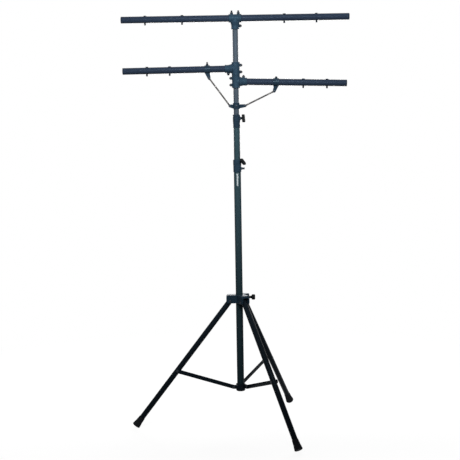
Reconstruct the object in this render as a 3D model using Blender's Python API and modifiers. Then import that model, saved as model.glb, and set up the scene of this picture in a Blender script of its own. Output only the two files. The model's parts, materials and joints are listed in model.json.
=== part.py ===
"""Folding lighting stand with a tripod base, two telescoping stages, a T-bar and two braced side arms.

The stand is at its real size in metres, +Z up, with its origin on the floor under the mast. The T-bar
lies along X. Legs, braces and their pins repeat at three headings, measured from +X about the mast.
"""

import math

import bmesh
import bpy
from mathutils import Matrix, Vector

# Clearances
SEAT = 0.0003  # between a piece and what it rests on or fits in
BORE_GAP = 0.0004  # round a tube in a cast bore
SCREW_TIP_GAP = 0.0005  # between a clamping screw's tip and the tube that it presses
LEG_SIDE_GAP = 0.0010  # between a leg and the brace that swings beside it
HEEL_GAP = 0.0010  # between a turning end and the root of its slot

# Facets round a turned piece
TUBE_SEGMENTS = 18
CASTING_SEGMENTS = 18
SMALL_SEGMENTS = 10
SMOOTH_ANGLE = math.radians(35)

# Tripod legs
LEG_HEADINGS = {"left": math.radians(180), "front": math.radians(-60), "back": math.radians(60)}
LEG_RADIUS = 0.015
LEG_WALL = 0.0012
LEG_LENGTH = 0.864  # from the pivot to the middle of the foot's end
LEG_SPREAD = math.radians(37.6)  # from upright, when the stand is open
LEG_PIVOT_OFFSET = 0.050  # from the mast's axis
LEG_TOP_BEYOND_PIVOT = 0.012
BRACE_JOINT_DOWN_LEG = 0.480

# Rubber feet
FOOT_LENGTH = 0.057
FOOT_SOCKET_DEPTH = 0.045
FOOT_MOUTH_RADIUS = 0.0167
FOOT_WAIST_RADIUS = 0.0182
FOOT_SOLE_RADIUS = 0.0230
FOOT_RIM = 0.0030
SOLE_FLAT_DEPTH = 0.0025  # how far the rubber is flattened where it meets the floor

# Braces between the hub and the legs
BRACE_LENGTH = 0.3183
BRACE_DEPTH = 0.022
BRACE_THICKNESS = 0.005
BRACE_HEAD_RADIUS = 0.0075
BRACE_HEAD_HEIGHT = 0.0030
HUB_PIVOT_OFFSET = 0.038

# Rivets and pins
PIN_RADIUS = 0.004
PIN_HEAD_RADIUS = 0.0070
PIN_HEAD_HEIGHT = 0.0026
ROD_PIN_RADIUS = 0.0030
ROD_PIN_HEAD_RADIUS = 0.0055
ROD_PIN_HEAD_HEIGHT = 0.0020

# Leg collar, which slides on the lower tube
COLLAR_CORE_RADIUS = 0.027
COLLAR_HEIGHT = 0.045
COLLAR_BELOW_PIVOT = 0.0115
COLLAR_LOBE_REACH = 0.0705
COLLAR_LOBE_CORNER = 0.012
COLLAR_CHEEK = 0.0085
COLLAR_ROOF = 0.012
COLLAR_BOSS_RADIUS = 0.011
COLLAR_BOSS_REACH = 0.045
COLLAR_BOSS_ABOVE_PIVOT = 0.0190
COLLAR_RUNNING_GAP = 0.0004

# Hub at the foot of the lower tube
HUB_RADIUS = 0.025
HUB_ABOVE_PIVOT = 0.014
HUB_BELOW_PIVOT = 0.022
HUB_EAR_RADIUS = 0.010
HUB_EAR_CHEEK = 0.0035
PLUG_FLANGE = 0.003
PLUG_DEPTH = 0.018

# Mast tubes
LOWER_TUBE_RADIUS = 0.019
LOWER_TUBE_LENGTH = 1.231
MIDDLE_TUBE_RADIUS = 0.01675
MIDDLE_TUBE_LENGTH = 0.850
MIDDLE_TUBE_SHOWN = 0.229  # how far it stands out of the lower tube
TOP_TUBE_RADIUS = 0.0145
TOP_TUBE_LENGTH = 0.850
TOP_TUBE_SHOWN = 0.521  # how far it stands out of the middle tube
TUBE_WALL = 0.0015

# Clamp collars at the top of the lower and middle tubes
CLAMP_WALL = 0.0021
CLAMP_BAND = 0.0008  # how far the band round the head stands out
CLAMP_LIP = 0.006
CLAMP_LIP_GAP = 0.0010
CLAMP_BOSS_RADIUS = 0.0085
LOWER_CLAMP_OVERLAP = 0.040
LOWER_CLAMP_HEAD = 0.026
UPPER_CLAMP_OVERLAP = 0.032
UPPER_CLAMP_HEAD = 0.037

# Clamping screws and their grips
SCREW_RADIUS = 0.004
SCREW_HOLE_GAP = 0.0003
WING_LENGTH = 0.044
WING_WIDTH = 0.016
WING_THICKNESS = 0.015
WING_EDGE = 0.0022
WING_NECK_RADIUS = 0.0068
LOWER_KNOB_HEADING = math.radians(-43)
LOWER_KNOB_TURN = math.radians(45)
LOWER_KNOB_REACH = 0.034
LOWER_KNOB_BELOW_HEAD = 0.010
LOWER_BOSS_REACH = 0.0265
UPPER_KNOB_HEADING = math.radians(-15)
UPPER_KNOB_TURN = math.radians(18)
UPPER_KNOB_REACH = 0.031
UPPER_KNOB_BELOW_HEAD = 0.020
UPPER_BOSS_REACH = 0.0245
STAR_RADIUS = 0.0138
STAR_LOBE = 0.0012
STAR_LOBES = 6
STAR_THICKNESS = 0.0195
STAR_REACH = 0.0665
STAR_EDGE = 0.0025
STAR_NECK_RADIUS = 0.0065

# Sprung index pin below the lower clamping screw
PLUNGER_BELOW_TUBE_TOP = 0.021
PLUNGER_PIN_RADIUS = 0.003
PLUNGER_BUTTON_RADIUS = 0.0058
PLUNGER_BUTTON_REACH = 0.0395
PLUNGER_BOSS_RADIUS = 0.0072
PLUNGER_BOSS_REACH = 0.0265

# T-bar and side arms, one tube size
BAR_RADIUS = 0.0175
BAR_WALL = 0.0015
T_BAR_LENGTH = 1.209
T_BAR_BOLT_SHARES = (-0.7874, -0.4632, 0.4301, 0.7122)  # of half the T-bar's length, from the mast
ARM_REACH = {"left": 0.602, "right": 0.590}
ARM_BOLT_SHARES = {"left": (0.5831, 0.7841), "right": (0.6051, 0.8186)}  # of each arm's reach
ARM_HEADINGS = {"left": math.radians(180), "right": 0.0}
ARM_DROOP = {"left": math.radians(0.5), "right": math.radians(1.65)}
ARM_FROM_MAST_AXIS = 0.026
LOWER_ARM_DROP_SHARE = 0.6372  # its depth below the T-bar, as a share of the top tube shown
CAP_FLANGE = 0.003
CAP_SPIGOT = 0.014
CAP_EDGE = 0.001

# Carriage bolts that lamps hang from
BOLT_RADIUS = 0.005
BOLT_HEAD_RADIUS = 0.009
BOLT_HEAD_HEIGHT = 0.0038
BOLT_STUB = 0.012  # how far the threaded end hangs below the bar

# T-fittings, one casting with two bores
TEE_RADIUS = 0.021
TEE_LENGTH = 0.068
TEE_RIM = 0.0010
TEE_RIM_WIDTH = 0.006
STEM_RADIUS = 0.0205
STEM_REACH = 0.058
STEM_SOCKET_START = 0.0225  # from the sleeve's axis to the socket's floor
TEE_BOSS_RADIUS = 0.0075
TEE_BOSS_HEIGHT = 0.0030
TEE_BOSS_SPACING = 0.0355
STEM_BOSS_FROM_AXIS = 0.040
SET_BOLT_RADIUS = 0.0052
SET_BOLT_REACH = {"top": 0.0405, "left": 0.0350, "right": 0.0350}  # its end, from the sleeve's axis
STEM_BOLT_REACH = 0.0350  # its end, from the stem's axis

# Straps on the arms and the collar that their brace rods meet
STRAP_THICKNESS = 0.003
STRAP_WIDTH = 0.030
STRAP_FROM_MAST_AXIS = {"left": 0.151, "right": 0.213}
STRAP_PIN_INWARD = 0.009
STRAP_PIN_BELOW_ARM = 0.048
LUG_THICKNESS = 0.0094
LUG_TIP_RADIUS = 0.0078
LUG_SLOT_ABOVE_PIN = 0.0105
BRACE_COLLAR_DROP_SHARE = 0.2457  # its depth below the lower arm, as a share of the top tube shown
BRACE_COLLAR_HEIGHT = 0.034
BRACE_COLLAR_WALL = 0.0036
BRACE_COLLAR_PINS = {"left": 0.034, "right": 0.047}
ROD_RADIUS = 0.0042
ROD_EYE_RADIUS = 0.0075
ROD_EYE_THICKNESS = 0.0040
ROD_NECK = 0.012  # from the eye's middle to where the rod turns round

# Surfaces: colour, roughness, metallic
BLACK_PAINT = ((0.022, 0.032, 0.042), 0.42, 0.0)
CAST_PAINT = ((0.018, 0.026, 0.040), 0.50, 0.0)
BLACK_PLASTIC = ((0.012, 0.013, 0.014), 0.55, 0.0)
RUBBER = ((0.014, 0.015, 0.016), 0.85, 0.0)
NYLON = ((0.10, 0.10, 0.10), 0.60, 0.0)
BLACK_STEEL = ((0.030, 0.032, 0.036), 0.40, 0.7)
GREY_STEEL = ((0.30, 0.30, 0.29), 0.42, 0.9)


# Places worked out from the sizes
BRACE_PLANE = LEG_RADIUS + LEG_SIDE_GAP + BRACE_THICKNESS / 2
SOLE_CENTRE_HEIGHT = FOOT_SOLE_RADIUS * math.sin(LEG_SPREAD) - SOLE_FLAT_DEPTH
LEG_PIVOT_HEIGHT = SOLE_CENTRE_HEIGHT + LEG_LENGTH * math.cos(LEG_SPREAD)
JOINT_OFFSET = LEG_PIVOT_OFFSET + BRACE_JOINT_DOWN_LEG * math.sin(LEG_SPREAD)
JOINT_HEIGHT = LEG_PIVOT_HEIGHT - BRACE_JOINT_DOWN_LEG * math.cos(LEG_SPREAD)
BRACE_RISE = math.acos((JOINT_OFFSET - HUB_PIVOT_OFFSET) / BRACE_LENGTH)
HUB_PIVOT_HEIGHT = JOINT_HEIGHT - BRACE_LENGTH * math.sin(BRACE_RISE)
LOWER_TUBE_BOTTOM = HUB_PIVOT_HEIGHT - HUB_BELOW_PIVOT
LOWER_TUBE_TOP = LOWER_TUBE_BOTTOM + LOWER_TUBE_LENGTH
MIDDLE_TUBE_TOP = LOWER_TUBE_TOP + MIDDLE_TUBE_SHOWN
TOP_TUBE_TOP = MIDDLE_TUBE_TOP + TOP_TUBE_SHOWN
T_BAR_HEIGHT = TOP_TUBE_TOP + STEM_SOCKET_START
LOWER_ARM_HEIGHT = T_BAR_HEIGHT - LOWER_ARM_DROP_SHARE * TOP_TUBE_SHOWN
ARM_HEIGHTS = {"left": LOWER_ARM_HEIGHT + TEE_LENGTH + SEAT, "right": LOWER_ARM_HEIGHT}
BRACE_COLLAR_CENTRE = LOWER_ARM_HEIGHT - BRACE_COLLAR_DROP_SHARE * TOP_TUBE_SHOWN
T_BAR_BOLTS = [share * T_BAR_LENGTH / 2 for share in T_BAR_BOLT_SHARES]
ARM_BOLTS = {side: [share * ARM_REACH[side] for share in shares] for side, shares in ARM_BOLT_SHARES.items()}
LUG_SLOT = ROD_EYE_THICKNESS + 2 * SEAT

QUARTER = math.pi / 2


# Scene, collections and materials


def clear_scene():
    for obj in list(bpy.data.objects):
        bpy.data.objects.remove(obj, do_unlink=True)


def new_collection(name):
    collection = bpy.data.collections.new(name)
    bpy.context.scene.collection.children.link(collection)
    return collection


def new_material(name, surface):
    colour, roughness, metallic = surface
    material = bpy.data.materials.new(name)
    material.use_nodes = True
    shader = material.node_tree.nodes["Principled BSDF"]
    shader.inputs["Base Color"].default_value = (*colour, 1.0)
    shader.inputs["Roughness"].default_value = roughness
    shader.inputs["Metallic"].default_value = metallic
    material.diffuse_color = (*colour, 1.0)
    return material


def pivot(name, matrix):
    """An empty on a joint's axis, for the pieces that move about it."""
    empty = bpy.data.objects.new(name, None)
    empty.empty_display_size = 0.03
    empty.matrix_world = matrix
    PARTS.objects.link(empty)
    return empty


def place(obj, surface, parent, matrix=None):
    """Makes a modelled object one of the stand's parts, in its parent's frame."""
    for collection in list(obj.users_collection):
        collection.objects.unlink(obj)
    PARTS.objects.link(obj)
    obj.hide_render = False
    obj.display_type = "TEXTURED"
    obj.parent = parent
    obj.matrix_local = matrix or Matrix.Identity(4)
    obj.data.materials.clear()
    obj.data.materials.append(new_material(obj.name + "_surface", surface))
    return obj


# Shapes


def helper(name, mesh):
    """An object that cuts or joins others, left out of the render until it's placed as a part."""
    obj = bpy.data.objects.new(name, mesh)
    obj.hide_render = True
    obj.display_type = "WIRE"
    CUTTERS.objects.link(obj)
    return obj


def turned(name, profile, segments=CASTING_SEGMENTS, closed=False):
    """A profile of (radius, height) points turned about Z. It runs down its outer side."""
    count = len(profile)
    edges = [(i, i + 1) for i in range(count - 1)]
    if closed:
        edges.append((count - 1, 0))
    mesh = bpy.data.meshes.new(name)
    mesh.from_pydata([(radius, 0.0, height) for radius, height in profile], edges, [])
    obj = helper(name, mesh)
    screw = obj.modifiers.new("Turn", "SCREW")
    screw.steps = screw.render_steps = segments
    screw.use_merge_vertices = True
    screw.merge_threshold = 0.00001
    screw.use_smooth_shade = True
    return obj


def tube(name, outer, inner, bottom, top, segments=TUBE_SEGMENTS):
    return turned(name, [(outer, top), (outer, bottom), (inner, bottom), (inner, top)], segments, True)


def facing(direction, centre=(0.0, 0.0, 0.0)):
    """The matrix that carries +Z to this direction and the origin to this centre."""
    turn = Vector(direction).to_track_quat("Z", "Y").to_matrix().to_4x4()
    return Matrix.Translation(Vector(centre)) @ turn


def cylinder(name, radius, start, end, segments=SMALL_SEGMENTS):
    """A solid cylinder between two points, half a facet round from a turned piece."""
    start, end = Vector(start), Vector(end)
    half_facet = Matrix.Rotation(math.pi / segments, 4, "Z")
    body = bmesh.new()
    bmesh.ops.create_cone(
        body, cap_ends=True, segments=segments, radius1=radius, radius2=radius, depth=(end - start).length
    )
    bmesh.ops.transform(body, matrix=facing(end - start, (start + end) / 2) @ half_facet, verts=body.verts)
    mesh = bpy.data.meshes.new(name)
    body.to_mesh(mesh)
    body.free()
    return helper(name, mesh)


def block(name, low, high):
    """A box between two corners."""
    low, high = Vector(low), Vector(high)
    body = bmesh.new()
    bmesh.ops.create_cube(body, size=1.0)
    size = Matrix.Diagonal((*(high - low), 1.0))
    bmesh.ops.transform(body, matrix=Matrix.Translation((low + high) / 2) @ size, verts=body.verts)
    mesh = bpy.data.meshes.new(name)
    body.to_mesh(mesh)
    body.free()
    return helper(name, mesh)


def arc(centre, radius, start, end, steps):
    """Points round an arc, from one angle in degrees to another."""
    angles = [math.radians(start + (end - start) * i / steps) for i in range(steps + 1)]
    return [(centre[0] + radius * math.cos(a), centre[1] + radius * math.sin(a)) for a in angles]


def plate(name, outline, thickness, edge=0.0):
    """A flat outline in X and Y, with its thickness split about Z and its edges broken by `edge`."""
    curve = bpy.data.curves.new(name, "CURVE")
    curve.dimensions = "2D"
    curve.fill_mode = "BOTH"
    curve.extrude = thickness / 2 - edge
    curve.bevel_depth = edge
    curve.bevel_resolution = 0
    curve.offset = -edge
    spline = curve.splines.new("POLY")
    spline.points.add(len(outline) - 1)
    for point, (x, y) in zip(spline.points, outline):
        point.co = (x, y, 0.0, 1.0)
    spline.use_cyclic_u = True
    source = bpy.data.objects.new(name + "_outline", curve)
    CUTTERS.objects.link(source)
    graph = bpy.context.evaluated_depsgraph_get()
    mesh = bpy.data.meshes.new_from_object(source.evaluated_get(graph))
    bpy.data.objects.remove(source)
    body = bmesh.new()
    body.from_mesh(mesh)
    bmesh.ops.remove_doubles(body, verts=body.verts, dist=0.00001)
    bmesh.ops.recalc_face_normals(body, faces=body.faces)
    body.to_mesh(mesh)
    body.free()
    return helper(name, mesh)


def upright_plate(name, outline, thickness, edge=0.0, side=0.0):
    """A plate whose outline is in X and Z. `side` is how far its middle lies along +Y."""
    obj = plate(name, outline, thickness, edge)
    obj.data.transform(Matrix.Translation((0.0, side, 0.0)) @ Matrix.Rotation(QUARTER, 4, "X"))
    return obj


def combine(target, tool, operation, frame=None):
    """Joins or cuts the target with a tool that is modelled in the target's own frame."""
    tool.parent = target
    tool.matrix_local = frame or Matrix.Identity(4)
    modifier = target.modifiers.new(operation.title(), "BOOLEAN")
    modifier.operation = operation
    modifier.object = tool


def join(target, tool, frame=None):
    combine(target, tool, "UNION", frame)


def cut(target, tool, frame=None):
    combine(target, tool, "DIFFERENCE", frame)


def settle(obj):
    """Turns the modifiers into plain mesh, shaded smooth except at its sharp edges."""
    graph = bpy.context.evaluated_depsgraph_get()
    mesh = bpy.data.meshes.new_from_object(obj.evaluated_get(graph))
    mesh.materials.clear()
    for material in obj.data.materials:
        mesh.materials.append(material)
    mesh.shade_smooth()
    mesh.set_sharp_from_angle(angle=SMOOTH_ANGLE)
    obj.modifiers.clear()
    obj.data = mesh


# Frames in the stand


def at_height(height):
    return Matrix.Translation((0.0, 0.0, height))


def leg_frame(side, offset, height):
    """X away from the mast along this leg's heading, Y across the leg, Z up."""
    turn = Matrix.Rotation(LEG_HEADINGS[side], 4, "Z")
    return at_height(height) @ turn @ Matrix.Translation((offset, 0, 0))


def arm_frame(side):
    """X out along the side arm, Z up, at the mast's axis."""
    turn = Matrix.Rotation(ARM_HEADINGS[side], 4, "Z") @ Matrix.Rotation(ARM_DROOP[side], 4, "Y")
    return at_height(ARM_HEIGHTS[side]) @ turn


def outward(heading, height, turn=0.0):
    """Z out from the mast along a heading, for screws and knobs. At no turn, X points down."""
    level = Matrix.Rotation(heading, 4, "Z") @ Matrix.Rotation(QUARTER, 4, "Y")
    return at_height(height) @ level @ Matrix.Rotation(turn, 4, "Z")


ACROSS = Matrix.Rotation(-QUARTER, 4, "X")  # carries Z to the Y of a leg or arm frame
ALONG = Matrix.Rotation(QUARTER, 4, "Y")  # carries Z to X and X to -Z


# Repeated pieces


def rivet(name, half_grip, radius, head_radius, head_height):
    """A pin along Z with a coned head at each end, both just clear of what it holds."""
    inner = half_grip + SEAT
    outer = inner + head_height
    half = [
        (head_radius * 0.70, outer),
        (head_radius, inner),
        (radius, inner),
    ]
    profile = [(0.0, outer), *half, *[(r, -z) for r, z in reversed(half)], (0.0, -outer)]
    return turned(name, profile, SMALL_SEGMENTS)


def screw_grip(name, tip, neck_start, neck_radius, grip, reach, thickness):
    """A clamping screw along Z, with the grip's plate fused on at `reach` from the mast's axis."""
    middle = reach + thickness / 2
    shape = [
        (0.0, middle),
        (neck_radius, middle),
        (neck_radius, neck_start + 0.0015),
        (SCREW_RADIUS, neck_start),
        (SCREW_RADIUS, tip + 0.0010),
        (SCREW_RADIUS - 0.0010, tip),
        (0.0, tip),
    ]
    knob = turned(name, shape, SMALL_SEGMENTS)
    join(knob, grip, Matrix.Translation((0.0, 0.0, middle)))
    return knob


def wing_grip(name):
    """The oval grip of a clamp collar's screw."""
    end = WING_WIDTH / 2
    straight = WING_LENGTH / 2 - end
    outline = arc((straight, 0.0), end, -90, 90, 5) + arc((-straight, 0.0), end, 90, 270, 5)
    return plate(name, outline, WING_THICKNESS, WING_EDGE)


def star_grip(name):
    """The lobed grip of the leg collar's screw."""
    steps = 4 * STAR_LOBES
    outline = []
    for i in range(steps):
        angle = 2 * math.pi * i / steps
        radius = STAR_RADIUS + STAR_LOBE * math.cos(STAR_LOBES * angle)
        outline.append((radius * math.cos(angle), radius * math.sin(angle)))
    return plate(name, outline, STAR_THICKNESS, STAR_EDGE)


def screw_hole(target, heading, height, reach, radius=SCREW_RADIUS):
    """Cuts a screw's hole from the mast's axis out along a heading."""
    tool = cylinder(target.name + "_screw_hole", radius + SCREW_HOLE_GAP, (0, 0, 0), (0, 0, reach + 0.01))
    cut(target, tool, outward(heading, height))


def tee(name, sleeve_bore, stem_bore, bolt_reach, stem_tilt=0.0):
    """A T-fitting with its sleeve along Z, its stem along X and its sleeve's set bolts at -X."""
    half = TEE_LENGTH / 2
    rim = TEE_RADIUS + TEE_RIM
    sleeve = [
        (0.0, half),
        (rim, half),
        (rim, half - TEE_RIM_WIDTH),
        (TEE_RADIUS, half - TEE_RIM_WIDTH - TEE_RIM),
    ]
    body = turned(name, sleeve + [(r, -z) for r, z in reversed(sleeve)])
    rim = STEM_RADIUS + TEE_RIM
    stem = [
        (0.0, STEM_REACH),
        (rim, STEM_REACH),
        (rim, STEM_REACH - TEE_RIM_WIDTH),
        (STEM_RADIUS, STEM_REACH - TEE_RIM_WIDTH - TEE_RIM),
        (STEM_RADIUS, 0.0),
        (0.0, 0.0),
    ]
    lean = Matrix.Rotation(stem_tilt, 4, "Y")
    join(body, turned(name + "_stem", stem), lean @ ALONG)
    face = TEE_RADIUS + TEE_BOSS_HEIGHT
    for sign in (-1, 1):
        height = sign * TEE_BOSS_SPACING / 2
        start = (-TEE_RADIUS / 2, 0, height)
        join(body, cylinder(name + "_boss", TEE_BOSS_RADIUS, (-face, 0, height), start))
        join(body, cylinder(name + "_bolt", SET_BOLT_RADIUS, (-bolt_reach, 0, height), start))
    face = STEM_RADIUS + TEE_BOSS_HEIGHT
    start = (STEM_BOSS_FROM_AXIS, 0, STEM_RADIUS / 2)
    join(body, cylinder(name + "_stem_boss", TEE_BOSS_RADIUS, start, (STEM_BOSS_FROM_AXIS, 0, face)), lean)
    start, end = (STEM_BOSS_FROM_AXIS, 0, STEM_RADIUS), (STEM_BOSS_FROM_AXIS, 0, STEM_BOLT_REACH)
    join(body, cylinder(name + "_stem_bolt", SET_BOLT_RADIUS, start, end), lean)
    bore = cylinder(name + "_bore", sleeve_bore, (0, 0, -TEE_LENGTH), (0, 0, TEE_LENGTH), TUBE_SEGMENTS)
    cut(body, bore)
    socket = cylinder(
        name + "_socket", stem_bore, (STEM_SOCKET_START, 0, 0), (2 * STEM_REACH, 0, 0), TUBE_SEGMENTS
    )
    cut(body, socket, lean)
    return body


def bar(name, start, end, holes):
    """A tube along its frame's X, drilled from top to bottom for each bolt."""
    body = tube(name, BAR_RADIUS, BAR_RADIUS - BAR_WALL, start, end)
    reach = 2 * BAR_RADIUS
    for position in holes:
        tool = cylinder(name + "_hole", BOLT_RADIUS + SEAT, (-reach, 0, position), (reach, 0, position))
        cut(body, tool)
    return body


def cap(name):
    """A plug for a bar's open end, with its flange outside."""
    flange = BAR_RADIUS
    spigot = BAR_RADIUS - BAR_WALL - SEAT
    profile = [
        (0.0, CAP_FLANGE),
        (flange - CAP_EDGE, CAP_FLANGE),
        (flange, CAP_FLANGE - CAP_EDGE),
        (flange, 0.0),
        (spigot, 0.0),
        (spigot, -CAP_SPIGOT),
        (0.0, -CAP_SPIGOT),
    ]
    return turned(name, profile)


def lamp_bolt(name):
    """A carriage bolt down through a bar, domed on top, with its threaded end hanging below."""
    under_head = BAR_RADIUS + SEAT
    top = under_head + BOLT_HEAD_HEIGHT
    tip = -BAR_RADIUS - BOLT_STUB
    profile = [
        (0.0, top),
        (BOLT_HEAD_RADIUS * 0.50, under_head + BOLT_HEAD_HEIGHT * 0.86),
        (BOLT_HEAD_RADIUS * 0.84, under_head + BOLT_HEAD_HEIGHT * 0.50),
        (BOLT_HEAD_RADIUS, under_head),
        (BOLT_RADIUS, under_head),
        (BOLT_RADIUS, tip + 0.0008),
        (BOLT_RADIUS - 0.0008, tip),
        (0.0, tip),
    ]
    return turned(name, profile, SMALL_SEGMENTS)


def clamp_collar(name, tube_radius, inner_radius, overlap, head):
    """A clamp collar round the top of a tube. Its height 0 is the tube's end."""
    bore = tube_radius + SEAT
    outer = bore + CLAMP_WALL
    band = outer + CLAMP_BAND
    lip = inner_radius + CLAMP_LIP_GAP
    profile = [
        (band - CLAMP_BAND, head),
        (band, head - CLAMP_BAND),
        (band, -CLAMP_BAND),
        (outer, -2 * CLAMP_BAND),
        (outer, -overlap),
        (bore, -overlap),
        (bore, head - CLAMP_LIP),
        (lip, head - CLAMP_LIP),
        (lip, head),
    ]
    return turned(name, profile, TUBE_SEGMENTS, True)


def guide_bush(name, tube_radius, inner_radius, head):
    """The nylon ring between a tube's end and its clamp collar's lip."""
    return tube(name, tube_radius, inner_radius + SEAT, SEAT, head - CLAMP_LIP - SEAT)


def eye_rod(name, length):
    """A rod along X between two flattened eyes, whose holes are across it."""
    body = cylinder(name, ROD_RADIUS, (ROD_NECK, 0, 0), (length - ROD_NECK, 0, 0))
    near = arc((0.0, 0.0), ROD_EYE_RADIUS, 40, 320, 8)
    reach = ROD_NECK + 0.006
    outline = near + [(reach, -ROD_RADIUS * 0.9), (reach, ROD_RADIUS * 0.9)]
    for side, mirror in (("near", 1), ("far", -1)):
        ends = [(x if mirror > 0 else length - x, z) for x, z in outline]
        join(body, upright_plate(f"{name}_{side}_eye", ends, ROD_EYE_THICKNESS))
    for position in (0.0, length):
        hole = cylinder(name + "_hole", ROD_PIN_RADIUS + SEAT, (position, -0.01, 0), (position, 0.01, 0))
        cut(body, hole)
    return body


def lug(target, name, outline, pin, slot):
    """Joins a lug to a strap or collar, then cuts the slot and the pin's hole for a rod's eye.

    The outline and pin are in X and Z, and `slot` is the box that the eye moves in, as low and high X, Z.
    """
    join(target, upright_plate(name, outline, LUG_THICKNESS))
    (low_x, low_z), (high_x, high_z) = slot
    half = LUG_SLOT / 2
    cut(target, block(name + "_slot", (low_x, -half, low_z), (high_x, half, high_z)))
    reach = LUG_THICKNESS
    hole = cylinder(name + "_hole", ROD_PIN_RADIUS + SEAT, (pin[0], -reach, pin[1]), (pin[0], reach, pin[1]))
    cut(target, hole)


# The stand's parts


def make_base():
    """Lower tube, hub, end plug, and the pins that the braces turn on."""
    root = pivot("base_frame", at_height(HUB_PIVOT_HEIGHT))
    down = -HUB_BELOW_PIVOT
    lower = tube("lower_tube", LOWER_TUBE_RADIUS, LOWER_TUBE_RADIUS - TUBE_WALL, 0.0, LOWER_TUBE_LENGTH)
    plunger_height = LOWER_TUBE_LENGTH - PLUNGER_BELOW_TUBE_TOP
    screw_hole(lower, 0.0, plunger_height, LOWER_TUBE_RADIUS, PLUNGER_PIN_RADIUS)
    place(lower, BLACK_PAINT, root, at_height(down))

    hub = cylinder("brace_hub", HUB_RADIUS, (0, 0, down), (0, 0, HUB_ABOVE_PIVOT), CASTING_SEGMENTS)
    inner = BRACE_PLANE - BRACE_THICKNESS / 2 - SEAT - HUB_EAR_CHEEK
    outer = BRACE_PLANE + BRACE_THICKNESS / 2 + SEAT + HUB_EAR_CHEEK
    root_of_slot = HUB_PIVOT_OFFSET - BRACE_DEPTH / 2 - HEEL_GAP
    half_slot = BRACE_THICKNESS / 2 + SEAT
    for side, heading in LEG_HEADINGS.items():
        turn = Matrix.Rotation(heading, 4, "Z")
        outline = [(0.004, -HUB_EAR_RADIUS)] + arc((HUB_PIVOT_OFFSET, 0), HUB_EAR_RADIUS, -90, 90, 6)
        outline.append((0.004, HUB_EAR_RADIUS))
        ear = upright_plate("hub_ear", outline, outer - inner, 0.0, (outer + inner) / 2)
        join(hub, ear, turn)
    cut(hub, cylinder("hub_bore", LOWER_TUBE_RADIUS + BORE_GAP, (0, 0, -0.1), (0, 0, 0.1), TUBE_SEGMENTS))
    for side, heading in LEG_HEADINGS.items():
        turn = Matrix.Rotation(heading, 4, "Z")
        low = (root_of_slot, BRACE_PLANE - half_slot, -0.05)
        cut(hub, block("hub_slot", low, (0.1, BRACE_PLANE + half_slot, 0.05)), turn)
        hole = cylinder("hub_hole", PIN_RADIUS + SEAT, (HUB_PIVOT_OFFSET, 0, 0), (HUB_PIVOT_OFFSET, 0.05, 0))
        cut(hub, hole, turn)
        pin = rivet("hub_pin_" + side, (outer - inner) / 2, PIN_RADIUS, PIN_HEAD_RADIUS, PIN_HEAD_HEIGHT)
        middle = Matrix.Translation((HUB_PIVOT_OFFSET, BRACE_PLANE, 0))
        place(pin, BLACK_STEEL, root, turn @ middle @ ACROSS)
    place(hub, CAST_PAINT, root)

    flange = LOWER_TUBE_RADIUS + HUB_EAR_CHEEK
    spigot = LOWER_TUBE_RADIUS - TUBE_WALL - SEAT
    profile = [
        (0.0, PLUG_DEPTH),
        (spigot, PLUG_DEPTH),
        (spigot, -SEAT),
        (flange, -SEAT),
        (flange, -PLUG_FLANGE + CAP_EDGE),
        (flange - CAP_EDGE, -PLUG_FLANGE),
        (0.0, -PLUG_FLANGE),
    ]
    place(turned("lower_end_plug", profile), BLACK_PLASTIC, root, at_height(down))
    return root


def make_legs():
    """The sliding collar, its knob, and each leg with its pin, foot, rivet and brace."""
    collar_empty = pivot("leg_collar_frame", at_height(LEG_PIVOT_HEIGHT))
    low = -COLLAR_BELOW_PIVOT
    high = low + COLLAR_HEIGHT
    half_slot = LEG_RADIUS + SEAT
    half_lobe = half_slot + COLLAR_CHEEK
    collar = cylinder("leg_collar", COLLAR_CORE_RADIUS, (0, 0, low), (0, 0, high), CASTING_SEGMENTS)
    corner = COLLAR_LOBE_CORNER
    outline = [(0.008, low), (COLLAR_LOBE_REACH - corner / 2, low)]
    outline += arc((COLLAR_LOBE_REACH - corner / 2, low + corner / 2), corner / 2, -90, 0, 3)[1:]
    outline += arc((COLLAR_LOBE_REACH - corner, high - corner), corner, 0, 90, 5) + [(0.008, high)]
    root_of_slot = COLLAR_CORE_RADIUS + HEEL_GAP
    for side, heading in LEG_HEADINGS.items():
        join(collar, upright_plate("collar_lobe", outline, 2 * half_lobe), Matrix.Rotation(heading, 4, "Z"))
    boss_height = COLLAR_BOSS_ABOVE_PIVOT
    boss = cylinder("collar_boss", COLLAR_BOSS_RADIUS, (0, 0, 0.010), (0, 0, COLLAR_BOSS_REACH))
    join(collar, boss, outward(0.0, boss_height))
    bore = LOWER_TUBE_RADIUS + COLLAR_RUNNING_GAP
    cut(collar, cylinder("collar_bore", bore, (0, 0, -0.1), (0, 0, 0.1), TUBE_SEGMENTS))
    for side, heading in LEG_HEADINGS.items():
        turn = Matrix.Rotation(heading, 4, "Z")
        corner_low = (root_of_slot, -half_slot, low - 0.01)
        cut(collar, block("collar_slot", corner_low, (0.1, half_slot, high - COLLAR_ROOF)), turn)
        start, end = (LEG_PIVOT_OFFSET, -0.05, 0), (LEG_PIVOT_OFFSET, 0.05, 0)
        cut(collar, cylinder("collar_hole", PIN_RADIUS + SEAT, start, end), turn)
    screw_hole(collar, 0.0, boss_height, COLLAR_BOSS_REACH)
    place(collar, CAST_PAINT, collar_empty)

    tip = LOWER_TUBE_RADIUS + SCREW_TIP_GAP
    neck_start = COLLAR_BOSS_REACH + 0.004
    grip = star_grip("star_grip")
    knob = screw_grip("leg_collar_knob", tip, neck_start, STAR_NECK_RADIUS, grip, STAR_REACH, STAR_THICKNESS)
    place(knob, BLACK_PLASTIC, pivot("leg_knob_frame", outward(0.0, LEG_PIVOT_HEIGHT + boss_height)))

    for side in LEG_HEADINGS:
        make_leg(side, half_lobe, collar_empty)
        make_brace(side)


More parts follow.
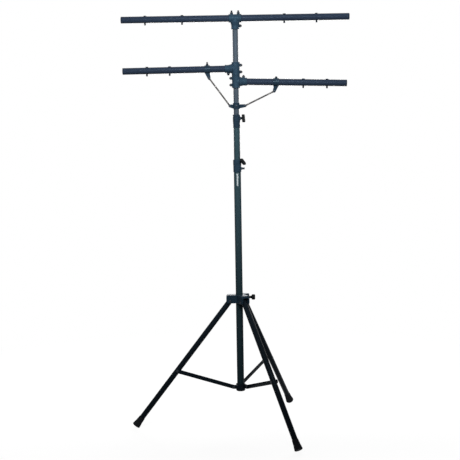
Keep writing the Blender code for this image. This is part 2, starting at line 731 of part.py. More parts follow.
def make_leg(side, half_lobe, collar_empty):
    hinge = pivot(f"leg_{side}_frame", leg_frame(side, LEG_PIVOT_OFFSET, LEG_PIVOT_HEIGHT))
    lean = Matrix.Rotation(-LEG_SPREAD, 4, "Y")
    pin = rivet("leg_pin_" + side, half_lobe, PIN_RADIUS, PIN_HEAD_RADIUS, PIN_HEAD_HEIGHT)
    across = leg_frame(side, LEG_PIVOT_OFFSET, 0.0) @ ACROSS
    place(pin, BLACK_STEEL, collar_empty, across)

    end = -LEG_LENGTH + FOOT_LENGTH - FOOT_SOCKET_DEPTH + SEAT
    leg = tube("leg_" + side, LEG_RADIUS, LEG_RADIUS - LEG_WALL, end, LEG_TOP_BEYOND_PIVOT, CASTING_SEGMENTS)
    for height in (0.0, -BRACE_JOINT_DOWN_LEG):
        cut(leg, cylinder("leg_hole", PIN_RADIUS + SEAT, (0, -0.03, height), (0, 0.03, height)))
    place(leg, BLACK_PAINT, hinge, lean)

    stub = LEG_RADIUS + LEG_SIDE_GAP - 2 * SEAT
    inner = LEG_RADIUS + SEAT
    outer = inner + PIN_HEAD_HEIGHT
    profile = [
        (0.0, stub),
        (PIN_RADIUS, stub),
        (PIN_RADIUS, -inner),
        (PIN_HEAD_RADIUS, -inner),
        (PIN_HEAD_RADIUS * 0.70, -outer),
        (0.0, -outer),
    ]
    brace_rivet = turned("leg_rivet_" + side, profile, SMALL_SEGMENTS)
    place(brace_rivet, BLACK_STEEL, hinge, lean @ at_height(-BRACE_JOINT_DOWN_LEG) @ ACROSS)

    top = FOOT_LENGTH
    mouth = LEG_RADIUS + SEAT
    floor_of_socket = FOOT_LENGTH - FOOT_SOCKET_DEPTH
    sole = FOOT_SOLE_RADIUS
    profile = [
        (0.0, floor_of_socket),
        (mouth, floor_of_socket),
        (mouth, top),
        (FOOT_MOUTH_RADIUS, top),
        (FOOT_MOUTH_RADIUS, top * 0.86),
        (FOOT_WAIST_RADIUS, top * 0.55),
        (sole - FOOT_RIM * 0.6, top * 0.25),
        (sole, FOOT_RIM),
        (sole - FOOT_RIM, 0.0),
        (0.0, 0.0),
    ]
    foot = turned("foot_" + side, profile, CASTING_SEGMENTS)
    place(foot, RUBBER, hinge, lean @ at_height(-LEG_LENGTH))
    ground = block("ground_" + side, (-1, -1, -0.2), (1, 1, 0))
    flatten = foot.modifiers.new("Flatten", "BOOLEAN")
    flatten.operation = "DIFFERENCE"
    flatten.object = ground


def make_brace(side):
    """A flat bar from the hub to the side of the leg, with the rivet's outer head on it."""
    hinge = pivot(f"brace_{side}_frame", leg_frame(side, HUB_PIVOT_OFFSET, HUB_PIVOT_HEIGHT))
    end = BRACE_DEPTH / 2
    outline = arc((BRACE_LENGTH, 0), end, -90, 90, 6) + arc((0, 0), end, 90, 270, 6)
    brace = upright_plate("brace_" + side, outline, BRACE_THICKNESS, 0.0, BRACE_PLANE)
    face = BRACE_PLANE + BRACE_THICKNESS / 2
    profile = [
        (0.0, BRACE_HEAD_HEIGHT),
        (BRACE_HEAD_RADIUS * 0.70, BRACE_HEAD_HEIGHT),
        (BRACE_HEAD_RADIUS, 0.0),
        (BRACE_HEAD_RADIUS, -BRACE_THICKNESS / 2),
        (0.0, -BRACE_THICKNESS / 2),
    ]
    head = turned(f"brace_{side}_head", profile, SMALL_SEGMENTS)
    join(brace, head, Matrix.Translation((BRACE_LENGTH, face, 0)) @ ACROSS)
    cut(brace, cylinder("brace_hole", PIN_RADIUS + SEAT, (0, 0, 0), (0, 2 * BRACE_PLANE, 0)))
    place(brace, BLACK_PAINT, hinge, Matrix.Rotation(-BRACE_RISE, 4, "Y"))


def make_lower_clamp(root):
    """The collar on the lower tube, its bush, its clamping screw and the sprung index pin."""
    top = at_height(LOWER_TUBE_TOP - HUB_PIVOT_HEIGHT)
    sizes = (LOWER_TUBE_RADIUS, MIDDLE_TUBE_RADIUS)
    collar = clamp_collar("lower_clamp_collar", *sizes, LOWER_CLAMP_OVERLAP, LOWER_CLAMP_HEAD)
    bush = guide_bush("lower_guide_bush", *sizes, LOWER_CLAMP_HEAD)
    knob_height = LOWER_CLAMP_HEAD - LOWER_KNOB_BELOW_HEAD
    add_boss(collar, CLAMP_BOSS_RADIUS, LOWER_BOSS_REACH, LOWER_KNOB_HEADING, knob_height, LOWER_TUBE_RADIUS)
    add_boss(collar, PLUNGER_BOSS_RADIUS, PLUNGER_BOSS_REACH, 0.0, -PLUNGER_BELOW_TUBE_TOP, LOWER_TUBE_RADIUS)
    screw_hole(collar, LOWER_KNOB_HEADING, knob_height, LOWER_BOSS_REACH)
    screw_hole(collar, 0.0, -PLUNGER_BELOW_TUBE_TOP, PLUNGER_BOSS_REACH, PLUNGER_PIN_RADIUS)
    screw_hole(bush, LOWER_KNOB_HEADING, knob_height, LOWER_TUBE_RADIUS)
    place(collar, CAST_PAINT, root, top)
    place(bush, NYLON, root, top)

    tip = MIDDLE_TUBE_RADIUS + SCREW_TIP_GAP
    neck = LOWER_BOSS_REACH + 0.003
    grip = wing_grip("lower_wing")
    knob = screw_grip("lower_clamp_knob", tip, neck, WING_NECK_RADIUS, grip, LOWER_KNOB_REACH, WING_THICKNESS)
    frame = outward(LOWER_KNOB_HEADING, LOWER_TUBE_TOP + knob_height, LOWER_KNOB_TURN)
    place(knob, BLACK_PLASTIC, pivot("lower_knob_frame", frame))

    button = PLUNGER_BOSS_REACH + SEAT
    profile = [
        (0.0, PLUNGER_BUTTON_REACH),
        (PLUNGER_BUTTON_RADIUS - 0.001, PLUNGER_BUTTON_REACH),
        (PLUNGER_BUTTON_RADIUS, PLUNGER_BUTTON_REACH - 0.001),
        (PLUNGER_BUTTON_RADIUS, PLUNGER_BUTTON_REACH - 0.005),
        (PLUNGER_BUTTON_RADIUS * 0.8, button + 0.004),
        (PLUNGER_BUTTON_RADIUS, button),
        (PLUNGER_PIN_RADIUS, button),
        (PLUNGER_PIN_RADIUS, tip + 0.0005),
        (PLUNGER_PIN_RADIUS - 0.0005, tip),
        (0.0, tip),
    ]
    plunger = turned("index_plunger", profile, SMALL_SEGMENTS)
    frame = outward(0.0, LOWER_TUBE_TOP - PLUNGER_BELOW_TUBE_TOP)
    place(plunger, BLACK_STEEL, pivot("index_plunger_frame", frame))


def add_boss(collar, radius, reach, heading, height, wall_radius):
    """Joins a round boss to a clamp collar, starting inside the collar's wall."""
    start = wall_radius + SEAT + CLAMP_WALL / 2
    boss = cylinder(collar.name + "_boss", radius, (0, 0, start), (0, 0, reach))
    join(collar, boss, outward(heading, height))


def make_middle_stage():
    """The middle tube with the upper clamp collar, its bush and its clamping screw."""
    stage = pivot("middle_stage_frame", at_height(MIDDLE_TUBE_TOP))
    inner = MIDDLE_TUBE_RADIUS - TUBE_WALL
    place(tube("middle_tube", MIDDLE_TUBE_RADIUS, inner, -MIDDLE_TUBE_LENGTH, 0.0), BLACK_PAINT, stage)
    sizes = (MIDDLE_TUBE_RADIUS, TOP_TUBE_RADIUS)
    collar = clamp_collar("upper_clamp_collar", *sizes, UPPER_CLAMP_OVERLAP, UPPER_CLAMP_HEAD)
    bush = guide_bush("upper_guide_bush", *sizes, UPPER_CLAMP_HEAD)
    height = UPPER_CLAMP_HEAD - UPPER_KNOB_BELOW_HEAD
    add_boss(collar, CLAMP_BOSS_RADIUS, UPPER_BOSS_REACH, UPPER_KNOB_HEADING, height, MIDDLE_TUBE_RADIUS)
    screw_hole(collar, UPPER_KNOB_HEADING, height, UPPER_BOSS_REACH)
    screw_hole(bush, UPPER_KNOB_HEADING, height, MIDDLE_TUBE_RADIUS)
    place(collar, CAST_PAINT, stage)
    place(bush, NYLON, stage)
    tip = TOP_TUBE_RADIUS + SCREW_TIP_GAP
    neck = UPPER_BOSS_REACH + 0.003
    grip = wing_grip("upper_wing")
    knob = screw_grip("upper_clamp_knob", tip, neck, WING_NECK_RADIUS, grip, UPPER_KNOB_REACH, WING_THICKNESS)
    frame = outward(UPPER_KNOB_HEADING, MIDDLE_TUBE_TOP + height, UPPER_KNOB_TURN)
    place(knob, BLACK_PLASTIC, pivot("upper_knob_frame", frame))


def make_top_stage():
    stage = pivot("top_stage_frame", at_height(TOP_TUBE_TOP))
    inner = TOP_TUBE_RADIUS - TUBE_WALL
    place(tube("top_tube", TOP_TUBE_RADIUS, inner, -TOP_TUBE_LENGTH, -SEAT), BLACK_PAINT, stage)


def make_t_bar():
    """The T-bar in the fitting at the mast's top, with its end caps and lamp bolts."""
    crown = pivot("t_bar_frame", at_height(T_BAR_HEIGHT))
    fitting = tee("top_tee", BAR_RADIUS + BORE_GAP, TOP_TUBE_RADIUS + BORE_GAP, SET_BOLT_REACH["top"])
    place(fitting, CAST_PAINT, crown, ALONG)
    half = T_BAR_LENGTH / 2 - CAP_FLANGE - SEAT
    place(bar("t_bar", -half, half, T_BAR_BOLTS), BLACK_PAINT, crown, ALONG)
    for side, turn in (("left", math.pi), ("right", 0.0)):
        outer = Matrix.Rotation(turn, 4, "Z") @ Matrix.Translation((half + SEAT, 0, 0))
        place(cap("t_bar_cap_" + side), BLACK_PLASTIC, crown, outer @ ALONG)
    for number, position in enumerate(T_BAR_BOLTS, 1):
        bolt = lamp_bolt(f"t_bar_bolt_{number}")
        place(bolt, BLACK_STEEL, crown, Matrix.Translation((position, 0, 0)))


def make_side_arms():
    """Both side arms with their fittings, caps, bolts, straps and brace rods, and the brace collar."""
    group = pivot("side_arm_frame", at_height(LOWER_ARM_HEIGHT))
    to_group = at_height(-LOWER_ARM_HEIGHT)
    flips = {"left": math.pi, "right": 0.0}
    for side in ("left", "right"):
        frame = to_group @ arm_frame(side)
        tilt = ARM_DROOP[side] * (-1 if side == "left" else 1)
        bores = (TOP_TUBE_RADIUS + BORE_GAP, BAR_RADIUS + BORE_GAP)
        fitting = tee(side + "_tee", *bores, SET_BOLT_REACH[side], tilt)
        upright = at_height(ARM_HEIGHTS[side] - LOWER_ARM_HEIGHT) @ Matrix.Rotation(flips[side], 4, "Y")
        place(fitting, CAST_PAINT, group, upright)
        end = ARM_REACH[side] - CAP_FLANGE - SEAT
        arm = bar(side + "_arm", ARM_FROM_MAST_AXIS, end, ARM_BOLTS[side])
        place(arm, BLACK_PAINT, group, frame @ ALONG)
        outer = frame @ Matrix.Translation((end + SEAT, 0, 0)) @ ALONG
        place(cap(side + "_arm_cap"), BLACK_PLASTIC, group, outer)
        for number, position in enumerate(ARM_BOLTS[side], 1):
            bolt = lamp_bolt(f"{side}_arm_bolt_{number}")
            place(bolt, BLACK_STEEL, group, frame @ Matrix.Translation((position, 0, 0)))
        make_strap(side, group, frame)
    make_brace_collar(group)
    for side in ("left", "right"):
        make_rod(side, group, to_group)


def strap_pin(side):
    """The pin's place in the arm's frame."""
    return Vector((STRAP_FROM_MAST_AXIS[side] - STRAP_PIN_INWARD, 0.0, -STRAP_PIN_BELOW_ARM))


def make_strap(side, group, frame):
    """A strap round the arm, with a tapered lug below that holds the brace rod's eye."""
    middle = STRAP_FROM_MAST_AXIS[side]
    half = STRAP_WIDTH / 2
    inner = BAR_RADIUS + SEAT
    outer = inner + STRAP_THICKNESS
    strap = tube(side + "_strap", outer, inner, -half, half)
    pin = strap_pin(side) - Vector((middle, 0, 0))
    top = -inner - STRAP_THICKNESS / 2
    tip = arc((pin.x, pin.z), LUG_TIP_RADIUS, -20, -180, 6)
    outline = [(half - 0.001, top)] + tip + [(-half + 0.001, -outer - 0.004), (-half + 0.001, top)]
    low = (-0.1, pin.z - 0.05)
    high = (0.1, pin.z + LUG_SLOT_ABOVE_PIN)
    body = upright_frame_strap(strap)
    lug(body, side + "_lug", outline, (pin.x, pin.z), (low, high))
    place(body, CAST_PAINT, group, frame @ Matrix.Translation((middle, 0, 0)))


def upright_frame_strap(strap):
    """Settles a strap's ring along X, so that its lug can be modelled in X and Z."""
    settle(strap)
    strap.data.transform(ALONG)
    return strap


def make_brace_collar(group):
    """The collar below the side arms, with an ear on each side for a brace rod."""
    half = BRACE_COLLAR_HEIGHT / 2
    inner = TOP_TUBE_RADIUS + SEAT
    outer = inner + BRACE_COLLAR_WALL
    collar = tube("brace_collar", outer, inner, -half, half)
    eye = LUG_TIP_RADIUS
    for side, sign in (("left", -1), ("right", 1)):
        pin = BRACE_COLLAR_PINS[side]
        start = inner + BRACE_COLLAR_WALL / 2
        tip = arc((pin, 0), eye, 90, -75, 6)
        outline = [(start, eye)] + tip + [(outer + 0.004, -half + 0.004), (start, -half + 0.004)]
        outline = [(sign * x, z) for x, z in outline]
        slot_start = outer + HEEL_GAP
        slot = ((slot_start, -0.05), (0.1, 0.05)) if sign > 0 else ((-0.1, -0.05), (-slot_start, 0.05))
        lug(collar, f"{side}_ear", outline, (sign * pin, 0), slot)
    place(collar, CAST_PAINT, group, at_height(BRACE_COLLAR_CENTRE - LOWER_ARM_HEIGHT))


def make_rod(side, group, to_group):
    """The rod from the brace collar to the strap, with the pin in each of its eyes."""
    sign = math.cos(ARM_HEADINGS[side])
    low = Vector((sign * BRACE_COLLAR_PINS[side], 0.0, BRACE_COLLAR_CENTRE))
    high = arm_frame(side) @ strap_pin(side)
    span = high - low
    rise = math.atan2(span.z, sign * span.x)
    turn = Matrix.Rotation(ARM_HEADINGS[side], 4, "Z") @ Matrix.Rotation(-rise, 4, "Y")
    rod = eye_rod(side + "_brace_rod", span.length)
    place(rod, GREY_STEEL, group, to_group @ Matrix.Translation(low) @ turn)
    for end, point in (("lower", low), ("upper", high)):
        sizes = (ROD_PIN_RADIUS, ROD_PIN_HEAD_RADIUS, ROD_PIN_HEAD_HEIGHT)
        pin = rivet(f"{side}_rod_pin_{end}", LUG_THICKNESS / 2, *sizes)
        place(pin, BLACK_STEEL, group, to_group @ Matrix.Translation(point) @ ACROSS)


def main():
    base = make_base()
    make_legs()
    make_lower_clamp(base)
    make_middle_stage()
    make_top_stage()
    make_t_bar()
    make_side_arms()
    bpy.context.view_layer.update()
    for obj in list(PARTS.objects):
        if obj.type == "MESH":
            settle(obj)


clear_scene()
PARTS = new_collection("lighting_stand")
CUTTERS = new_collection("cutters")
main()
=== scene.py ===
"""The look of the folding lighting stand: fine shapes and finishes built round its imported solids.

Every piece is modelled in the row frame, in metres, with +Z up and the T-bar along X, and rides on the
body that carries it. The legs and braces repeat at three headings about the mast.
"""

import json
import logging
import math
from collections.abc import Sequence
from dataclasses import dataclass, field
from enum import Enum
from functools import cache

import bmesh
import bpy
from bmesh.types import BMesh
from mathutils import Matrix, Vector

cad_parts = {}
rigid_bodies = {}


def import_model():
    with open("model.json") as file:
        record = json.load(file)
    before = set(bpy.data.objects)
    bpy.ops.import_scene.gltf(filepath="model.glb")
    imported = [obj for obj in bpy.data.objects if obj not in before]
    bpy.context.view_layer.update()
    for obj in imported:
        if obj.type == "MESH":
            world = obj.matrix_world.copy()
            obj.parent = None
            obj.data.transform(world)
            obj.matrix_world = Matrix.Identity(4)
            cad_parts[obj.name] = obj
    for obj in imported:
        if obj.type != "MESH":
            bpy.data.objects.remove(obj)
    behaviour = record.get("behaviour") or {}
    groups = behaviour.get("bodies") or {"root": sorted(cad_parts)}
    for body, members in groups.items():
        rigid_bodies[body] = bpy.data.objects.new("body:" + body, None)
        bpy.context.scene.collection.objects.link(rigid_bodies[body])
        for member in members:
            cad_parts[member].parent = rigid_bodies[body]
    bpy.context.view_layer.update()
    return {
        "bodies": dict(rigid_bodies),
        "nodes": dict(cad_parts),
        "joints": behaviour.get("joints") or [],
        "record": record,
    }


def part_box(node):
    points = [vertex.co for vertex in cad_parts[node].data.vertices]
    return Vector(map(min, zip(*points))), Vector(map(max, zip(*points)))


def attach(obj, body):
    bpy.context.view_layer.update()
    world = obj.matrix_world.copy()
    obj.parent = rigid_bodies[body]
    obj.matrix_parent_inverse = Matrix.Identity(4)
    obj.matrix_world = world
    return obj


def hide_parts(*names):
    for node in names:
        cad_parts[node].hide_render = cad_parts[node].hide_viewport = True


log = logging.getLogger("lighting_stand")

Point = tuple[float, float]
Place = tuple[float, float, float]
Colour = tuple[float, float, float]
Socket = bpy.types.NodeSocket

QUARTER = math.pi / 2
TUBE_FACETS = 72
PART_FACETS = 48
SMALL_FACETS = 28
HEX_SIDES = 6
SMOOTH_ANGLE = math.radians(38)
BEVEL_ANGLE = 0.6  # the smallest turn, in radians, that an edge is bevelled at
MERGE_DISTANCE = 1e-6
IMAGE_SIDE = 460

FIT_GAP = 0.0003  # between pieces that stay together
SLIDE_GAP = 0.0004  # round a tube that slides or is clamped
TIP_GAP = 0.0005  # between a screw's tip and its tube
EDGE_BREAK = 0.0004
EDGE_SHARE = 0.3  # the most of a tube's wall that its bevel takes
CHAMFER = 0.0012
THREAD_PITCH = 0.0015
THREAD_DEPTH = 0.0005
THREAD_RUNOUT = 0.0006
DOME_EDGE = 0.12  # the upright part of a domed head, as a share of its height
THROUGH = 0.1  # how far a cutter reaches, past anything that it cuts
BAR_RADIUS = 0.0175
NOISE_ROUGHNESS = 0.55

HEADINGS: dict[str, float] = {"left": math.pi, "front": math.radians(-60), "back": math.radians(60)}


# Effects and finishes


class Board:
    """Adds nodes to one node tree, set or linked as they are made."""

    def __init__(self, tree: bpy.types.NodeTree) -> None:
        """Starts on an empty tree.

        Args:
            tree: The node tree of a material, world or group.
        """
        self.tree = tree
        self.column = 0

    @classmethod
    def of(cls, owner: bpy.types.Material | bpy.types.World) -> "Board":
        """Empties an owner's tree and starts on it.

        Args:
            owner: The material or the world.

        Returns:
            Its board.
        """
        owner.use_nodes = True
        owner.node_tree.nodes.clear()
        return cls(owner.node_tree)

    def add(self, kind: str, values: dict | None = None, **settings: object) -> bpy.types.Node:
        """Adds one node.

        Args:
            kind: The node's type.
            values: Input name or index, with a constant or the socket that feeds it.
            settings: Properties of the node itself.

        Returns:
            The new node.
        """
        node = self.tree.nodes.new(kind)
        self.column += 1
        node.location = (190 * self.column, 0)
        for name, value in settings.items():
            setattr(node, name, value)
        for key, value in (values or {}).items():
            if isinstance(value, Socket):
                self.tree.links.new(value, node.inputs[key])
            else:
                node.inputs[key].default_value = value
        return node

    def noise(self, vector: Socket, scale: object, detail: float) -> Socket:
        """A noise texture's value at this vector."""
        values = {"Vector": vector, "Scale": scale, "Detail": detail, "Roughness": NOISE_ROUGHNESS}
        return self.add("ShaderNodeTexNoise", values).outputs[0]

    def math(self, operation: str, first: object, second: object) -> Socket:
        """One arithmetic step."""
        return self.add("ShaderNodeMath", {0: first, 1: second}, operation=operation).outputs[0]

    def shared(self, first: Socket, second: Socket, share: float) -> Socket:
        """Adds the first value's share to what the second one has left."""
        parts = self.math("MULTIPLY", first, share), self.math("MULTIPLY", second, 1.0 - share)
        return self.math("ADD", *parts)

    def span(
        self, value: Socket, low: float, high: float, new_low: float = 0.0, new_high: float = 1.0
    ) -> Socket:
        """Carries a value from one range to another, and holds it inside that one."""
        values = {"Value": value, "From Min": low, "From Max": high, "To Min": new_low, "To Max": new_high}
        return self.add("ShaderNodeMapRange", values).outputs[0]

    def tint(self, factor: Socket, first: object, second: object) -> Socket:
        """Mixes two colours."""
        return self.add("ShaderNodeMix", {0: factor, 6: first, 7: second}, data_type="RGBA").outputs[2]

    def effect(self, effect: "Effect", values: dict) -> Socket:
        """Places an effect's node group with a finish's own values."""
        return self.add("ShaderNodeGroup", values, node_tree=effect.tree()).outputs[0]


def tone_drift(board: Board, start: bpy.types.NodeOutputs) -> Socket:
    """Slow drift of tone over a surface, as thick and thin paint or a mould's flow leaves.

    Args:
        board: The group's board.
        start: The group's inputs.

    Returns:
        The tone, from 0 to 1.
    """
    finer, coarse_share, tone_range = 7.3, 0.7, (0.3, 0.7)
    coarse = board.noise(start["Vector"], start["Scale"], detail=3.0)
    fine = board.noise(start["Vector"], board.math("MULTIPLY", start["Scale"], finer), detail=5.0)
    return board.span(board.shared(coarse, fine, coarse_share), *tone_range)


def scuffs(board: Board, start: bpy.types.NodeOutputs) -> Socket:
    """Rubbed marks: thin streaks, with more of them on outer edges.

    Args:
        board: The group's board.
        start: The group's inputs.

    Returns:
        The mask of what is rubbed.
    """
    mark_level, mark_gain, mark_depth, patch_scale = 0.74, 0.12, 0.5, 55.0
    rim_range, patch_range = (0.54, 0.62), (0.50, 0.62)
    amount = start["Amount"]
    streaks = board.noise(start["Vector"], start["Scale"], detail=8.0)
    raised = board.math("ADD", streaks, board.math("MULTIPLY", amount, mark_gain))
    marks = board.math("GREATER_THAN", raised, mark_level)
    rim = board.span(start["Convexity"], *rim_range)
    patchy = board.span(board.noise(start["Vector"], patch_scale, detail=3.0), *patch_range)
    worn = board.math("MULTIPLY", board.math("MULTIPLY", rim, patchy), amount)
    return board.math("MAXIMUM", board.math("MULTIPLY", marks, mark_depth), worn)


def fine_grain(board: Board, start: bpy.types.NodeOutputs) -> Socket:
    """Fine relief: the pebbled skin of paint, castings and moulded plastic.

    Args:
        board: The group's board.
        start: The group's inputs.

    Returns:
        The relief's height.
    """
    finer, cell_share = 1.7, 0.6
    values = {"Vector": start["Vector"], "Scale": start["Scale"]}
    cells = board.add("ShaderNodeTexVoronoi", values, feature="SMOOTH_F1").outputs[0]
    rough = board.noise(start["Vector"], board.math("MULTIPLY", start["Scale"], finer), detail=6.0)
    return board.shared(cells, rough, cell_share)


def settled_dust(board: Board, start: bpy.types.NodeOutputs) -> Socket:
    """Dust that has settled on what faces up.

    Args:
        board: The group's board.
        start: The group's inputs.

    Returns:
        The mask of what is dusty.
    """
    patch_scale, patch_range, least, level_range = 38.0, (0.42, 0.66), 0.1, (0.35, 1.0)
    up = board.add("ShaderNodeSeparateXYZ", {0: start["Normal"]}).outputs["Z"]
    lying = board.span(up, *level_range)
    patchy = board.span(board.noise(start["Vector"], patch_scale, detail=6.0), *patch_range, least)
    return board.math("MULTIPLY", board.math("MULTIPLY", lying, patchy), start["Amount"])


class Effect(Enum):
    """What several finishes share, each a shader node group with one output."""

    TONE = ("tone_drift", tone_drift, ("Vector", "Scale"), "Tone")
    SCUFFS = ("scuffs", scuffs, ("Vector", "Scale", "Amount", "Convexity"), "Mask")
    GRAIN = ("fine_grain", fine_grain, ("Vector", "Scale"), "Height")
    DUST = ("settled_dust", settled_dust, ("Vector", "Normal", "Amount"), "Mask")

    def tree(self) -> bpy.types.NodeTree:
        """The effect's node group, made once.

        Returns:
            The group's tree.
        """
        name, fill, inputs, output = self.value
        found = bpy.data.node_groups.get(name)
        if found:
            return found
        tree = bpy.data.node_groups.new(name, "ShaderNodeTree")
        for label in inputs:
            kind = "NodeSocketVector" if label in ("Vector", "Normal") else "NodeSocketFloat"
            tree.interface.new_socket(label, in_out="INPUT", socket_type=kind)
        tree.interface.new_socket(output, in_out="OUTPUT", socket_type="NodeSocketFloat")
        board = Board(tree)
        board.add("NodeGroupOutput", {output: fill(board, board.add("NodeGroupInput").outputs)})
        return tree


TONE_SCALE = 16.0
SCUFF_SCALE = 130.0
GRAIN_STRENGTH = 0.5
DUST_COLOUR: Colour = (0.30, 0.29, 0.27)
DUST_ROUGHNESS = 0.3
WHITE: Colour = (1.0, 1.0, 1.0)
UPRIGHT_MARKS: Place = (1.0, 1.0, 0.12)
LEVEL_MARKS: Place = (0.12, 1.0, 1.0)


@dataclass(frozen=True)
class Finish:
    """One finish of the stand.

    Args:
        name: The material's name.
        slot: The material slot in the record; not used.
        colour: Main colour, linear.
        shade: The colour where the tone drifts down.
        bare: The colour of what shows where it's rubbed.
        roughness: Lowest and highest roughness.
        metallic: Share of metal in the surface.
        specular: The shader's specular level.
        tint: Colour of what it reflects head on.
        grain: Scale of the fine relief, in cells to a metre.
        relief: Depth of the fine relief, in metres.
        stretch: Scale of its marks along each axis, so less where they are longer.
        scuffs: How rubbed it is.
        dust: How dusty it is.
    """

    name: str
    slot: str
    colour: Colour
    shade: Colour
    bare: Colour
    roughness: tuple[float, float]
    metallic: float = 0.0
    specular: float = 0.5
    tint: Colour = WHITE
    grain: float = 900.0
    relief: float = 0.00006
    stretch: Place = (1.0, 1.0, 1.0)
    scuffs: float = 0.3
    dust: float = 0.1

    def material(self) -> bpy.types.Material:
        """The finish as a material, made once.

        Returns:
            The material.
        """
        found = bpy.data.materials.get(self.name)
        if found:
            return found
        made = bpy.data.materials.new(self.name)
        made.diffuse_color = (*self.colour, 1.0)
        board = Board.of(made)
        place = board.add("ShaderNodeTexCoord").outputs
        position, normal = place["Object"], place["Normal"]
        streaked = board.add("ShaderNodeMapping", {"Vector": position, "Scale": self.stretch}).outputs[0]
        convexity = board.add("ShaderNodeNewGeometry").outputs["Pointiness"]

        marks = {"Vector": streaked, "Scale": SCUFF_SCALE, "Amount": self.scuffs, "Convexity": convexity}
        tone = board.effect(Effect.TONE, {"Vector": streaked, "Scale": TONE_SCALE})
        rubbed = board.effect(Effect.SCUFFS, marks)
        dusty = board.effect(Effect.DUST, {"Vector": position, "Normal": normal, "Amount": self.dust})
        height = board.effect(Effect.GRAIN, {"Vector": position, "Scale": self.grain})

        colour = board.tint(tone, (*self.shade, 1.0), (*self.colour, 1.0))
        colour = board.tint(rubbed, colour, (*self.bare, 1.0))
        colour = board.tint(dusty, colour, (*DUST_COLOUR, 1.0))
        rough = board.span(tone, 0.0, 1.0, self.roughness[1], self.roughness[0])
        rough = board.math("ADD", rough, board.math("MULTIPLY", dusty, DUST_ROUGHNESS))
        relief = {"Height": height, "Strength": GRAIN_STRENGTH, "Distance": self.relief}
        surface = {
            "Base Color": colour,
            "Roughness": rough,
            "Normal": board.add("ShaderNodeBump", relief).outputs[0],
            "Metallic": self.metallic,
            "Specular IOR Level": self.specular,
            "Specular Tint": (*self.tint, 1.0),
        }
        shader = board.add("ShaderNodeBsdfPrincipled", surface)
        board.add("ShaderNodeOutputMaterial", {"Surface": shader.outputs[0]})
        return made


